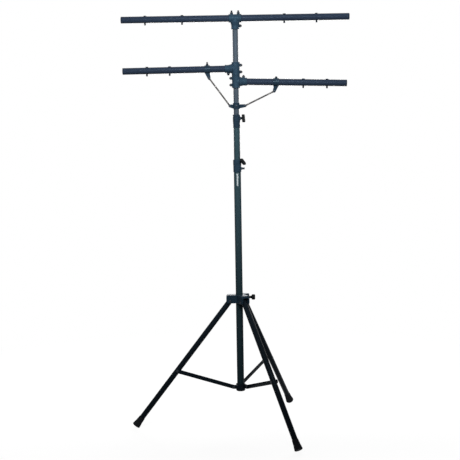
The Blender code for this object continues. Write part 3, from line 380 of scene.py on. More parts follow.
class Look(Enum):
    """The stand's finishes."""

    # Painted light: the mast's paint made lighter for the top stage, where more light falls high on the
    # stand.
    TOP_STAGE_PAINTED_LIGHTER = Finish(
        "slate_top_stage_paint_painted_lighter", "mast_paint", colour=(0.038, 0.050, 0.064), shade=(0.029, 0.039, 0.050),
        bare=(0.12, 0.13, 0.14), roughness=(0.20, 0.27), specular=0.012, tint=(0.62, 0.80, 1.0),
        stretch=UPRIGHT_MARKS, scuffs=0.2, dust=0.03,
    )
    # The mast's paint on the middle and lower tubes; the top stage and the legs take a lighter and a darker
    # copy of it.
    MAST = Finish(
        "teal_black_mast_paint", "mast_paint", colour=(0.022, 0.043, 0.053), shade=(0.016, 0.032, 0.039),
        bare=(0.10, 0.11, 0.12), roughness=(0.20, 0.27), specular=0.010, tint=(0.45, 0.80, 1.0),
        stretch=UPRIGHT_MARKS, scuffs=0.2, dust=0.03,
    )
    # Painted shade: the mast's paint made near black for the legs and braces, low on the stand where less
    # light falls.
    LEG_PAINTED_SHADE = Finish(
        "leg_paint_painted_shade", "mast_paint", colour=(0.0070, 0.0115, 0.0170), shade=(0.0048, 0.0080, 0.0120),
        bare=(0.05, 0.055, 0.06), roughness=(0.22, 0.30), specular=0.030, tint=(0.60, 0.85, 1.0),
        stretch=UPRIGHT_MARKS, scuffs=0.2, dust=0.015,
    )
    BAR = Finish(
        "blue_black_bar_paint", "bar_paint", colour=(0.014, 0.0215, 0.036), shade=(0.010, 0.0155, 0.027),
        bare=(0.08, 0.09, 0.10), roughness=(0.20, 0.26), specular=0.018, tint=(0.60, 0.80, 1.0),
        stretch=LEVEL_MARKS, scuffs=0.2, dust=0.015,
    )
    CASTING = Finish(
        "blue_black_casting_paint", "casting_paint", colour=(0.0138, 0.0290, 0.0460),
        shade=(0.0105, 0.0215, 0.0340), bare=(0.12, 0.13, 0.14), roughness=(0.34, 0.44), specular=0.040,
        tint=(0.45, 0.80, 1.0), grain=420.0, relief=0.00016, scuffs=0.35, dust=0.04,
    )
    DARK_CASTING = Finish(
        "dark_casting_paint", "casting_paint", colour=(0.010, 0.020, 0.032), shade=(0.007, 0.014, 0.023),
        bare=(0.10, 0.11, 0.12), roughness=(0.22, 0.30), specular=0.060, tint=(0.60, 0.85, 1.0),
        grain=420.0, relief=0.00016, scuffs=0.3, dust=0.03,
    )
    # Painted shade: the casting paint made near black for the brace hub at the foot of the mast, where less
    # light falls.
    CASTING_PAINTED_SHADE = Finish(
        "casting_paint_painted_shade", "casting_paint", colour=(0.0075, 0.0120, 0.0180),
        shade=(0.0055, 0.0085, 0.0130), bare=(0.07, 0.075, 0.08), roughness=(0.34, 0.44), specular=0.030,
        grain=420.0, relief=0.00016, scuffs=0.3, dust=0.02,
    )
    PLASTIC = Finish(
        "black_moulded_plastic", "black_plastic", colour=(0.010, 0.011, 0.013), shade=(0.007, 0.008, 0.009),
        bare=(0.05, 0.05, 0.05), roughness=(0.48, 0.60), specular=0.04, grain=700.0, relief=0.00010,
        scuffs=0.2, dust=0.06,
    )
    NYLON = Finish(
        "dark_grey_nylon", "nylon", colour=(0.10, 0.10, 0.10), shade=(0.07, 0.07, 0.07),
        bare=(0.2, 0.2, 0.2), roughness=(0.5, 0.62), grain=600.0, scuffs=0.2,
    )
    RUBBER = Finish(
        "black_foot_rubber", "rubber", colour=(0.020, 0.022, 0.026), shade=(0.014, 0.015, 0.018),
        bare=(0.06, 0.06, 0.06), roughness=(0.70, 0.84), specular=0.06, grain=520.0, relief=0.00018,
        scuffs=0.25, dust=0.04,
    )
    BLACK_STEEL = Finish(
        "blackened_steel", "black_steel", colour=(0.019, 0.024, 0.031), shade=(0.013, 0.016, 0.021),
        bare=(0.12, 0.125, 0.13), roughness=(0.34, 0.46), metallic=0.6, specular=0.2, grain=1100.0,
        relief=0.00005, scuffs=0.15, dust=0.0,
    )
    DULL_STEEL = Finish(
        "dull_bare_steel", "grey_steel", colour=(0.036, 0.035, 0.033), shade=(0.024, 0.023, 0.022),
        bare=(0.28, 0.275, 0.27), roughness=(0.34, 0.50), metallic=0.7, specular=0.3, grain=1300.0,
        relief=0.00005, stretch=LEVEL_MARKS, scuffs=0.3, dust=0.03,
    )
    STICKER = Finish(
        "pale_vinyl_sticker", "mast_paint", colour=(0.30, 0.345, 0.36), shade=(0.27, 0.31, 0.325),
        bare=(0.22, 0.26, 0.28), roughness=(0.42, 0.55), specular=0.3, grain=300.0, relief=0.00003,
        scuffs=0.1, dust=0.03,
    )


# Frames


def turned(angle: float, axis: str) -> Matrix:
    """A turn about an axis through the origin."""
    return Matrix.Rotation(angle, 4, axis)


def at_height(height: float) -> Matrix:
    """The mast's frame at a height."""
    return Matrix.Translation((0.0, 0.0, height))


def along_x(distance: float) -> Matrix:
    """A shift along X."""
    return Matrix.Translation((distance, 0.0, 0.0))


def outward(heading: float, height: float, turn: float = 0.0) -> Matrix:
    """Z out from the mast along a heading. At no turn, X points down."""
    return at_height(height) @ (turned(heading, "Z") @ turned(QUARTER, "Y")) @ turned(turn, "Z")


ALONG = turned(QUARTER, "Y")  # carries Z to X and X to -Z
BACK_ALONG = turned(-QUARTER, "Y")  # carries Z to -X and X to Z
ACROSS = turned(-QUARTER, "X")  # carries Z to Y


# Shapes


def linked(name: str, data: bpy.types.ID) -> bpy.types.Object:
    """Makes an object and puts it in the scene.

    Args:
        name: Its name.
        data: Its mesh, lamp or camera.

    Returns:
        The object.
    """
    made = bpy.data.objects.new(name, data)
    bpy.context.scene.collection.objects.link(made)
    return made


def meshed(name: str, shape: BMesh) -> bpy.types.Mesh:
    """Writes a shape into a new mesh, and frees the shape.

    Args:
        name: The mesh's name.
        shape: The shape.

    Returns:
        The mesh.
    """
    mesh = bpy.data.meshes.new(name)
    shape.to_mesh(mesh)
    shape.free()
    return mesh


def lathe(profile: Sequence[Point], facets: int = PART_FACETS, ring: bool = False) -> BMesh:
    """Spins a profile about Z.

    Args:
        profile: Points of (radius, height).
        facets: Steps in the full turn.
        ring: Whether the profile closes on itself, as a tube's wall does.

    Returns:
        A closed shape.
    """
    shape = bmesh.new()
    points = [shape.verts.new((radius, 0.0, height)) for radius, height in profile]
    for first, second in zip(points, points[1:]):
        shape.edges.new((first, second))
    if ring:
        shape.edges.new((points[-1], points[0]))
    bmesh.ops.spin(
        shape, geom=shape.verts[:] + shape.edges[:], cent=(0, 0, 0), axis=(0, 0, 1), dvec=(0, 0, 0),
        angle=math.tau, steps=facets, use_merge=True,
    )
    bmesh.ops.remove_doubles(shape, verts=shape.verts, dist=MERGE_DISTANCE)
    bmesh.ops.recalc_face_normals(shape, faces=shape.faces)
    return shape


def sleeve(outer: float, inner: float, bottom: float, top: float) -> BMesh:
    """A tube along Z with sharp ends."""
    return lathe([(outer, top), (outer, bottom), (inner, bottom), (inner, top)], TUBE_FACETS, True)


def pipe(outer: float, inner: float, bottom: float, top: float) -> BMesh:
    """A tube along Z, its ends broken by a fine bevel."""
    return soften(sleeve(outer, inner, bottom, top), min(EDGE_BREAK, (outer - inner) * EDGE_SHARE))


def rod(radius: float, start: Place, end: Place, facets: int = PART_FACETS) -> BMesh:
    """A solid cylinder between two points.

    Args:
        radius: Its radius.
        start: One end's middle.
        end: The other end's middle.
        facets: Its sides.

    Returns:
        A closed shape.
    """
    first, second = Vector(start), Vector(end)
    way = second - first
    shape = bmesh.new()
    bmesh.ops.create_cone(
        shape, cap_ends=True, segments=facets, radius1=radius, radius2=radius, depth=way.length
    )
    aim = way.to_track_quat("Z", "Y").to_matrix().to_4x4()
    return moved(shape, Matrix.Translation((first + second) / 2) @ aim)


def post(radius: float, bottom: float, top: float, facets: int = PART_FACETS) -> BMesh:
    """A solid cylinder along Z."""
    return rod(radius, (0, 0, bottom), (0, 0, top), facets)


def bore_cut(radius: float) -> BMesh:
    """The cutter for a bore along Z."""
    return post(radius, -THROUGH, THROUGH, TUBE_FACETS)


def pin_cut(radius: float, x: float, z: float) -> BMesh:
    """The cutter for a pin's hole across Y."""
    return rod(radius, (x, -THROUGH / 10, z), (x, THROUGH / 10, z), SMALL_FACETS)


def hexagon(radius: float, bottom: float, top: float, bevel: float) -> BMesh:
    """A hexagonal head or nut along Z, its edges broken."""
    return soften(post(radius, bottom, top, HEX_SIDES), bevel)


def block(low: Place, high: Place) -> BMesh:
    """A box between two corners.

    Args:
        low: Its lowest corner.
        high: Its highest corner.

    Returns:
        A closed shape.
    """
    shape = bmesh.new()
    first, second = Vector(low), Vector(high)
    bmesh.ops.create_cube(shape, size=1.0)
    grown = Matrix.Diagonal((*(second - first), 1.0))
    return moved(shape, Matrix.Translation((first + second) / 2) @ grown)


def slab(outline: Sequence[Point], thickness: float, side: float = 0.0) -> BMesh:
    """A plate with its outline in X and Z.

    Args:
        outline: The outline's points.
        thickness: Its thickness along Y.
        side: Where its middle lies along Y.

    Returns:
        A closed shape.
    """
    shape = bmesh.new()
    face = shape.faces.new([shape.verts.new((x, side - thickness / 2, z)) for x, z in outline])
    grown = bmesh.ops.extrude_face_region(shape, geom=[face], use_keep_orig=True)["geom"]
    raised = [v for v in grown if isinstance(v, bmesh.types.BMVert)]
    bmesh.ops.translate(shape, verts=raised, vec=(0.0, thickness, 0.0))
    bmesh.ops.recalc_face_normals(shape, faces=shape.faces)
    return shape


def level_slab(outline: Sequence[Point], thickness: float, height: float) -> BMesh:
    """A plate across Z, with its middle at a height."""
    return moved(slab(outline, thickness), at_height(height) @ turned(QUARTER, "X"))


def arc(centre: Point, radius: float, start: float, end: float, steps: int = 12) -> list[Point]:
    """Points round an arc, from one angle in degrees to another."""
    angles = [math.radians(start + (end - start) * i / steps) for i in range(steps + 1)]
    return [(centre[0] + radius * math.cos(a), centre[1] + radius * math.sin(a)) for a in angles]


def soften(shape: BMesh, width: float, segments: int = 2) -> BMesh:
    """Bevels every edge that turns sharply.

    Args:
        shape: The shape, changed in place.
        width: The bevel's width.
        segments: Its segments.

    Returns:
        The same shape.
    """
    sharp = [e for e in shape.edges if e.is_manifold and e.calc_face_angle(0.0) > BEVEL_ANGLE]
    bmesh.ops.bevel(
        shape, geom=sharp, offset=width, offset_type="OFFSET", segments=segments, profile=0.5,
        affect="EDGES", clamp_overlap=True, material=-1,
    )
    return shape


def moved(shape: BMesh, matrix: Matrix) -> BMesh:
    """Carries a shape by a matrix, in place."""
    bmesh.ops.transform(shape, matrix=matrix, verts=shape.verts)
    return shape


def merged(*shapes: BMesh) -> BMesh:
    """Puts several shapes into the first one, and frees the others.

    Args:
        shapes: The shapes.

    Returns:
        The first one, with all of them in it.
    """
    for other in shapes[1:]:
        carrier = meshed("carrier", other)
        shapes[0].from_mesh(carrier)
        bpy.data.meshes.remove(carrier)
    return shapes[0]


def cast(solids: Sequence[BMesh], cuts: Sequence[BMesh], skin: float, rounds: int = 2) -> BMesh:
    """Joins solids, cuts holes, and gives the result a casting's soft corners.

    Args:
        solids: Closed shapes that overlap.
        cuts: Closed shapes to take away.
        skin: Size of the mesh's cells, and so of its fillets.
        rounds: Passes of smoothing.

    Returns:
        One closed shape.
    """
    body = linked("stock", meshed("stock", solids[0]))
    tools = []
    for operation, shapes in (("UNION", solids[1:]), ("DIFFERENCE", cuts)):
        for shape in shapes:
            tools.append(linked("tool", meshed("tool", shape)))
            step = body.modifiers.new(operation.title(), "BOOLEAN")
            step.operation, step.object = operation, tools[-1]
    remesh = body.modifiers.new("Skin", "REMESH")
    remesh.mode, remesh.voxel_size = "VOXEL", skin
    smooth = body.modifiers.new("Polish", "SMOOTH")
    smooth.factor, smooth.iterations = 0.5, rounds
    mesh = bpy.data.meshes.new_from_object(body.evaluated_get(bpy.context.evaluated_depsgraph_get()))
    for item in [body, *tools]:
        bpy.data.objects.remove(item)
    result = bmesh.new()
    result.from_mesh(mesh)
    bpy.data.meshes.remove(mesh)
    return result


def piece(name: str, shape: BMesh, body: str, look: Look, *nodes: str) -> None:
    """Turns a shape into one of the stand's pieces.

    Args:
        name: The piece's name.
        shape: The shape, already in place. It is freed.
        body: The body that it rides on.
        look: Its finish.
        nodes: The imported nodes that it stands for.
    """
    mesh = meshed(name, shape)
    mesh.materials.append(look.value.material())
    mesh.shade_smooth()
    mesh.set_sharp_from_angle(angle=SMOOTH_ANGLE)
    made = linked(name, mesh)
    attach(made, body)
    if nodes:
        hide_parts(*nodes)
    log.info("%s: %d faces on %s", name, len(mesh.polygons), body)


@cache
def span_of(node: str) -> tuple[Vector, Vector]:
    """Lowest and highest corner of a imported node."""
    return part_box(node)


def middle_of(node: str) -> Vector:
    """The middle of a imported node's box."""
    low, high = span_of(node)
    return (low + high) / 2


def joint_place(joints: Sequence[dict], name: str) -> Vector:
    """A point on a packed hinge's axis, found by the hinge's name."""
    return Vector(next(joint["pos_m"] for joint in joints if joint["name"] == name))


# Small hardware


class Head(Enum):
    """Heads that screws have here."""

    HEX = "hexagonal"
    ROUND = "domed"


@dataclass
class Screw:
    """A screw along Z with its head outward.

    Args:
        shank: Radius of its shank.
        head: Radius of its head, to the flats' corners on a hexagon.
        head_height: Height of its head.
        start: Where its shank begins.
        under_head: Where its head begins.
        kind: The head's form.
    """

    shank: float
    head: float
    head_height: float
    start: float
    under_head: float
    kind: Head = Head.HEX
    pitch: float = 0.0014
    depth: float = 0.0004
    shank_share: float = 0.3  # how far the shank reaches into the head
    head_bevel: float = 0.0006

    def shape(self) -> BMesh:
        """Shank with thread ridges, and the head.

        Returns:
            Both in one shape.
        """
        buried = self.under_head + self.head_height * self.shank_share
        profile: list[Point] = [(0.0, buried), (self.shank, buried)]
        for i in range(int((self.under_head - self.start) / self.pitch)):
            height = self.under_head - i * self.pitch
            profile += [(self.shank, height), (self.shank - self.depth, height - self.pitch / 2)]
        profile += [(self.shank - self.depth, self.start), (0.0, self.start)]
        top = self.under_head + self.head_height
        if self.kind is Head.HEX:
            head = hexagon(self.head, self.under_head, top, self.head_bevel)
        else:
            head = dome(self.head, self.under_head, self.head_height)
        return merged(lathe(profile, SMALL_FACETS), head)


@dataclass
class SetBolt:
    """A set bolt along Z, held by a lock nut.

    Args:
        start: Where its shank begins, inside the casting.
        face: The casting's face, which the nut sits on.
        reach: Its outer end.
        shank: Radius of its shank.
        nut: Radius of its nut, to the corners.
        nut_height: Height of its nut.
    """

    start: float
    face: float
    reach: float
    shank: float = 0.0052
    nut: float = 0.0094
    nut_height: float = 0.0062
    nut_bevel: float = 0.0009

    def shape(self) -> BMesh:
        """The threaded shank and the hexagonal nut."""
        nut = hexagon(self.nut, self.face, self.face + self.nut_height, self.nut_bevel)
        return merged(threaded(self.shank, self.start, self.reach), nut)


def clamping_screw(start: float, under_head: float) -> BMesh:
    """The steel of a clamping screw, which its grip is moulded on.

    Args:
        start: Where its shank begins.
        under_head: Where its head begins.

    Returns:
        Shank and head in one shape.
    """
    return Screw(
        shank=0.0040, head=0.0052, head_height=0.0030, start=start, under_head=under_head, kind=Head.ROUND
    ).shape()


def threaded(radius: float, start: float, end: float) -> BMesh:
    """A threaded rod along Z, chamfered at its outer end.

    Args:
        radius: Radius to the thread's crests.
        start: Where it begins.
        end: Its outer end.

    Returns:
        A closed shape.
    """
    profile: list[Point] = [(0.0, end), (radius - CHAMFER, end), (radius, end - CHAMFER)]
    height = end - CHAMFER - THREAD_PITCH
    while height - THREAD_PITCH > start + THREAD_RUNOUT:
        profile += [(radius - THREAD_DEPTH, height + THREAD_PITCH / 2), (radius, height)]
        height -= THREAD_PITCH
    return lathe([*profile, (radius - THREAD_DEPTH, start), (0.0, start)], SMALL_FACETS)


def dome(radius: float, base: float, height: float) -> BMesh:
    """A low domed head standing on a plane across Z.

    Args:
        radius: Its radius.
        base: Where it stands.
        height: How tall it is.

    Returns:
        A closed shape.
    """
    edge = height * DOME_EDGE
    curve = [(x * radius, base + edge + z * (height - edge)) for x, z in arc((0.0, 0.0), 1.0, 90, 0, 8)]
    return lathe([*curve, (radius, base), (0.0, base)], SMALL_FACETS)


def rivet(half_grip: float, radius: float, head: float, height: float) -> BMesh:
    """A pin along Z with a domed head at each end.

    Args:
        half_grip: Half the distance between its heads.
        radius: Radius of its shank.
        head: Radius of its heads.
        height: Height of its heads.

    Returns:
        Shank and heads in one shape.
    """
    upper = dome(head, half_grip, height)
    lower = moved(dome(head, half_grip, height), turned(math.pi, "X"))
    return merged(post(radius, -half_grip, half_grip, SMALL_FACETS), upper, lower)


# Sub-assemblies


@dataclass
class Mast:
    """The three telescoping tubes, and the blank sticker on the lower one.

    Args:
        wall: The tubes' wall.
        sticker_width: Width of the sticker round the tube.
        sticker_heights: Its lower and upper ends.
        sticker_heading: Where its middle faces.
        sticker_lift: How far its outer face stands off the tube.
        sticker_thickness: Its thickness.
        point: Its width at the lower end, as a share.
        point_slope: How soon it has its full width.
    """

    wall: float = 0.0015
    sticker_width: float = 0.0092
    sticker_heights: tuple[float, float] = (1.318, 1.386)
    sticker_heading: float = math.radians(-90.0)
    sticker_lift: float = 0.0004
    sticker_thickness: float = 0.0003
    point: float = 0.25
    point_slope: float = 9.0

    def build(self) -> None:
        """Builds the tubes, then dresses the lower one with its sticker."""
        # The top tube takes a lighter copy of the mast's paint, painted light high on the stand.
        for node, body, look in (
            ("lower_tube", "base", Look.MAST),
            ("middle_tube", "middle_stage", Look.MAST),
            ("top_tube", "top_stage", Look.TOP_STAGE_PAINTED_LIGHTER),
        ):
            low, high = span_of(node)
            radius = (high.x - low.x) / 2
            piece(node + "_skin", pipe(radius, radius - self.wall, low.z, high.z), body, look, node)
        self.dress()

    def dress(self) -> None:
        """Wraps the sticker round the lower tube, with its lower end cut to a point."""
        radius = span_of("lower_tube")[1].x + self.sticker_lift
        low, high = self.sticker_heights
        shape = bmesh.new()
        bmesh.ops.create_grid(shape, x_segments=12, y_segments=24, size=0.5)
        for vert in shape.verts:
            across, up = vert.co.x, vert.co.y + 0.5
            taper = min(1.0, self.point + up * self.point_slope)
            angle = self.sticker_heading + across * taper * self.sticker_width / radius
            vert.co = (radius * math.cos(angle), radius * math.sin(angle), low + (high - low) * up)
        bmesh.ops.recalc_face_normals(shape, faces=shape.faces)
        bmesh.ops.solidify(shape, geom=shape.faces[:], thickness=self.sticker_thickness)
        bmesh.ops.recalc_face_normals(shape, faces=shape.faces)
        piece("blank_sticker", shape, "base", Look.STICKER)


@dataclass
class IndexPlunger:
    """The sprung pin below the lower clamping screw.

    Args:
        drop: How far it lies below the lower tube's top.
        pin: Radius of its pin.
        button: Radius of its button.
        boss_radius: Radius of the boss that it works in.
        boss_reach: The boss's end, from the mast's axis.
        boss_bore: Radius of the boss's hole.
        rest: Where the button rests.
        reach: The button's outer end.
    """

    drop: float = 0.021
    pin: float = 0.003
    button: float = 0.0058
    boss_radius: float = 0.0072
    boss_reach: float = 0.0265
    boss_bore: float = 0.0033
    rest: float = 0.0268
    reach: float = 0.0395
    waist_share: float = 0.90
    cap: float = 0.0048
    cap_foot: float = 0.0062
    skirt: float = 0.0020
    skirt_top: float = 0.0035
    point: float = 0.0006

    def frame(self) -> Matrix:
        """Z out along the plunger."""
        return outward(0.0, span_of("lower_tube")[1].z - self.drop)

    def build(self) -> None:
        """Builds the pin with its waisted button."""
        tip = span_of("middle_tube")[1].x + TIP_GAP
        button, pin, rest, reach = self.button, self.pin, self.rest, self.reach
        waist = button * self.waist_share
        profile = [
            (0.0, reach), (button - CHAMFER, reach), (button, reach - CHAMFER), (button, reach - self.cap),
            (waist, reach - self.cap_foot), (waist, rest + self.skirt_top), (button, rest + self.skirt),
            (button, rest), (pin, rest), (pin, tip + self.point), (pin - self.point, tip), (0.0, tip),
        ]
        shape = moved(lathe(profile), self.frame())
        piece("plunger_pin", shape, "index_plunger", Look.BLACK_STEEL, "index_plunger")


@dataclass
class ClampCollar:
    """A clamp collar at a tube's top, its clamping screw and the screw's wing.

    Args:
        name: lower or upper.
        body: The body of the tube that it sits on.
        tube: The node of that tube.
        inner: The node of the tube that slides in it.
        overlap: How far it reaches down the tube.
        head: How far it stands above the tube's end.
        screw_heading: Where its screw points.
        screw_drop: How far the screw lies below the collar's top.
        boss_reach: The boss's end, from the mast's axis.
        wing_reach: The wing's near face, from the mast's axis.
        wing_turn: How far the wing is turned from upright.
        plunger: The plunger that works in it, if any.
        look: Its finish.
    """

    name: str
    body: str
    tube: str
    inner: str
    overlap: float
    head: float
    screw_heading: float
    screw_drop: float
    boss_reach: float
    wing_reach: float
    wing_turn: float
    plunger: IndexPlunger | None = None
    look: Look = Look.CASTING
    wall: float = 0.0021
    band: float = 0.0008
    lip: float = 0.006
    lip_gap: float = 0.001
    boss_radius: float = 0.0085
    screw_bore: float = 0.0043
    screw_neck: float = 0.003
    screw_seat: float = 0.0015
    wing_length: float = 0.044
    wing_width: float = 0.016
    wing_thickness: float = 0.015
    wing_round: float = 0.0024
    hub_radius: float = 0.0078
    hub_neck: float = 0.0068
    hub_step: float = 0.0010
    skin: float = 0.0009
    grip_skin: float = 0.0008

    def build(self) -> None:
        """Builds the collar, then dresses it with its screw and wing."""
        end = span_of(self.tube)[1]
        bore = end.x + FIT_GAP
        outer = bore + self.wall
        band = outer + self.band
        lip = span_of(self.inner)[1].x + self.lip_gap
        profile = [
            (band - self.band, self.head), (band, self.head - self.band), (band, -self.band),
            (outer, -2 * self.band), (outer, -self.overlap), (bore, -self.overlap),
            (bore, self.head - self.lip), (lip, self.head - self.lip), (lip, self.head),
        ]
        solids, cuts = [moved(lathe(profile, TUBE_FACETS, True), at_height(end.z))], []
        height = end.z + self.head - self.screw_drop
        bosses = [(outward(self.screw_heading, height), self.boss_radius, self.boss_reach, self.screw_bore)]
        if self.plunger:
            pin = self.plunger
            bosses.append((pin.frame(), pin.boss_radius, pin.boss_reach, pin.boss_bore))
        for aim, radius, reach, hole in bosses:
            solids.append(moved(post(radius, end.x + FIT_GAP + self.wall / 2, reach), aim))
            cuts.append(moved(post(hole, 0, reach + THROUGH / 10, SMALL_FACETS), aim))
        made = cast(solids, cuts, self.skin)
        piece(f"{self.name}_collar_casting", made, self.body, self.look, f"{self.name}_clamp_collar")
        self.dress(height, lip)

    def dress(self, height: float, lip: float) -> None:
        """Adds the screw's shank and the wing.

        Args:
            height: The screw's height.
            lip: Radius of the collar's lip.
        """
        frame = outward(self.screw_heading, height, self.wing_turn)
        neck = self.boss_reach + self.screw_neck
        knob = f"{self.name}_clamp_knob"
        screw = clamping_screw(lip - TIP_GAP, neck - self.screw_seat)
        piece(f"{self.name}_clamp_screw", moved(screw, frame), knob, Look.BLACK_STEEL)
        end = self.wing_width / 2
        straight = self.wing_length / 2 - end
        outline = arc((straight, 0.0), end, -90, 90, 10) + arc((-straight, 0.0), end, 90, 270, 10)
        middle = self.wing_reach + self.wing_thickness / 2
        wing = soften(level_slab(outline, self.wing_thickness, middle), self.wing_round, 3)
        hub = lathe([
            (0.0, middle), (self.hub_radius, middle), (self.hub_radius, neck + self.hub_step),
            (self.hub_neck, neck), (0.0, neck),
        ])
        grip = cast([wing, hub], [], self.grip_skin, 3)
        piece(f"{self.name}_wing", moved(grip, frame), knob, Look.PLASTIC, knob)


@dataclass
class Tripod:
    """The sliding collar, the hub, and three legs with their feet, braces and rivets.

    Args:
        collar_pivot: A point on a leg's hinge, which gives the pivots' height.
        hub_pivot: A point on a brace's hinge.
    """

    collar_pivot: Vector
    hub_pivot: Vector
    spread: float = math.radians(37.6)
    leg_radius: float = 0.015
    leg_wall: float = 0.0012
    leg_length: float = 0.864
    leg_beyond_pivot: float = 0.012
    plug_depths: Place = (0.0008, 0.0022, 0.008)  # its crown, rim and end below the leg's top
    brace_joint: float = 0.480
    brace_length: float = 0.3183
    brace_depth: float = 0.022
    brace_thickness: float = 0.005
    brace_round: float = 0.0009
    side_gap: float = 0.001
    foot_length: float = 0.057
    foot_socket: float = 0.045
    foot_ribs: int = 4
    rib_pitch: float = 0.0052
    rib_height: float = 0.0004
    rib_root: float = 0.0168
    rib_crest: Point = (0.0020, 0.0006)  # its upper and lower edge
    rib_start: float = 0.84  # the first rib's height, as a share of the foot's
    foot_lip: tuple[Point, ...] = ((0.0164, 0.0), (0.0167, 0.0006))  # radius, depth below the top
    foot_flare: tuple[Point, ...] = ((0.0190, 0.44), (0.0205, 0.28))  # radius, share of the height
    sole_start: float = 0.16
    sole_curve: tuple[Point, ...] = (
        (0.0003, 0.0042), (0.0, 0.0030), (0.0004, 0.0014), (0.0014, 0.0004), (0.0030, 0.0),
    )  # distance inside the sole's radius, height
    sole_radius: float = 0.0222
    collar_core: float = 0.027
    collar_skin: float = 0.0013
    lobe_root: float = 0.008
    lobe_corner: float = 0.012
    lobe_round: float = 0.0022
    cheek: float = 0.0085
    roof: float = 0.012
    boss_radius: float = 0.011
    boss_root: float = 0.010
    boss_reach: float = 0.045
    boss_height: float = 0.019
    hub_radius: float = 0.025
    hub_above: float = 0.014
    hub_below: float = 0.022
    hub_skin: float = 0.0009
    ear_radius: float = 0.010
    ear_root: float = 0.004
    ear_cheek: float = 0.0035
    slot_room: float = 0.001
    end_plug_spigot: float = 0.0165
    end_plug_flange: float = 0.003
    pin_radius: float = 0.004
    pin_head: float = 0.0070
    pin_head_height: float = 0.0026
    rivet_head_height: float = 0.0028
    brace_head: float = 0.0075
    brace_head_height: float = 0.0030
    grip_start: float = 0.0665
    grip_thickness: float = 0.0195
    grip_radius: float = 0.0142
    grip_lobes: int = 6
    grip_lobe_height: float = 0.0007
    grip_round: float = 0.0055
    grip_seat: float = 0.003
    grip_neck: float = 0.0105
    neck_radii: tuple[float, float] = (0.0065, 0.0062)
    neck_waist: float = 0.006
    neck_start: float = 0.049
    grip_skin: float = 0.0008
    brace_plane: float = field(init=False)
    pivot_offset: float = field(init=False)
    hub_offset: float = field(init=False)
    brace_rise: float = field(init=False)

    def __post_init__(self) -> None:
        """Works out the pivots' distances from the mast and the braces' rise."""
        self.brace_plane = self.leg_radius + self.side_gap + self.brace_thickness / 2
        self.pivot_offset = math.hypot(self.collar_pivot.x, self.collar_pivot.y)
        self.hub_offset = math.hypot(self.hub_pivot.x, self.hub_pivot.y)
        joint = self.pivot_offset + self.brace_joint * math.sin(self.spread)
        self.brace_rise = math.acos((joint - self.hub_offset) / self.brace_length)

    def build(self) -> None:
        """Builds the collar, hub, legs and braces, then dresses them with knob and rivets."""
        self.build_collar()
        self.build_hub()
        for side in HEADINGS:
            self.build_leg(side)
            self.build_brace(side)
        self.dress()

    def frame(self, side: str, offset: float, height: float) -> Matrix:
        """X away from the mast along a leg's heading, Y across it, Z up."""
        return at_height(height) @ turned(HEADINGS[side], "Z") @ along_x(offset)

    def leg_frame(self, side: str) -> Matrix:
        """Z up along a leg, from its pivot."""
        return self.frame(side, self.pivot_offset, self.collar_pivot.z) @ turned(-self.spread, "Y")

    def build_collar(self) -> None:
        """Casts the sliding collar with its lobes, slots and boss."""
        box_low, box_high = span_of("leg_collar")
        low, high = box_low.z - self.collar_pivot.z, box_high.z - self.collar_pivot.z
        half_slot = self.leg_radius + FIT_GAP
        corner, reach = self.lobe_corner, -box_low.x
        outline = [(self.lobe_root, low), (reach - corner / 2, low)]
        outline += arc((reach - corner / 2, low + corner / 2), corner / 2, -90, 0, 5)[1:]
        outline += [*arc((reach - corner, high - corner), corner, 0, 90, 8), (self.lobe_root, high)]
        solids = [post(self.collar_core, low, high, TUBE_FACETS)]
        cuts = [bore_cut(span_of("lower_tube")[1].x + SLIDE_GAP)]
        for heading in HEADINGS.values():
            turn = turned(heading, "Z")
            lobe = soften(slab(outline, 2 * (half_slot + self.cheek)), self.lobe_round, 3)
            solids.append(moved(lobe, turn))
            start = (self.collar_core + self.slot_room, -half_slot, low - THROUGH / 10)
            cuts.append(moved(block(start, (THROUGH, half_slot, high - self.roof)), turn))
        boss = post(self.boss_radius, self.boss_root, self.boss_reach)
        solids.append(moved(boss, outward(0.0, self.boss_height)))
        shape = moved(cast(solids, cuts, self.collar_skin), at_height(self.collar_pivot.z))
        piece("leg_collar_casting", shape, "leg_collar", Look.CASTING, "leg_collar")

    def build_hub(self) -> None:
        """Casts the hub with its three pairs of ears, and plugs the mast's end."""
        plane, tall = self.brace_plane, THROUGH / 2
        inner = plane - self.brace_thickness / 2 - FIT_GAP - self.ear_cheek
        outer = plane + self.brace_thickness / 2 + FIT_GAP + self.ear_cheek
        solids = [post(self.hub_radius, -self.hub_below, self.hub_above, TUBE_FACETS)]
        cuts = [bore_cut(span_of("lower_tube")[1].x + FIT_GAP)]
        tip = arc((self.hub_offset, 0.0), self.ear_radius, -90, 90)
        outline = [(self.ear_root, -self.ear_radius), *tip, (self.ear_root, self.ear_radius)]
        half_slot = self.brace_thickness / 2 + FIT_GAP
        for heading in HEADINGS.values():
            turn = turned(heading, "Z")
            solids.append(moved(slab(outline, outer - inner, (outer + inner) / 2), turn))
            start = (self.hub_offset - self.brace_depth / 2 - self.slot_room, plane - half_slot, -tall)
            cuts.append(moved(block(start, (THROUGH, plane + half_slot, tall)), turn))
        shape = moved(cast(solids, cuts, self.hub_skin), at_height(self.hub_pivot.z))
        # The hub takes the casting paint darkened: painted shade at the foot of the mast.
        piece("brace_hub_casting", shape, "base", Look.CASTING_PAINTED_SHADE, "brace_hub")
        low, high = span_of("lower_end_plug")
        radius, spigot, flange = (high.x - low.x) / 2, self.end_plug_spigot, low.z + self.end_plug_flange
        profile = [
            (0.0, high.z), (spigot, high.z), (spigot, flange), (radius, flange), (radius, low.z + CHAMFER),
            (radius - CHAMFER, low.z), (0.0, low.z),
        ]
        piece("mast_end_plug", lathe(profile), "base", Look.PLASTIC, "lower_end_plug")

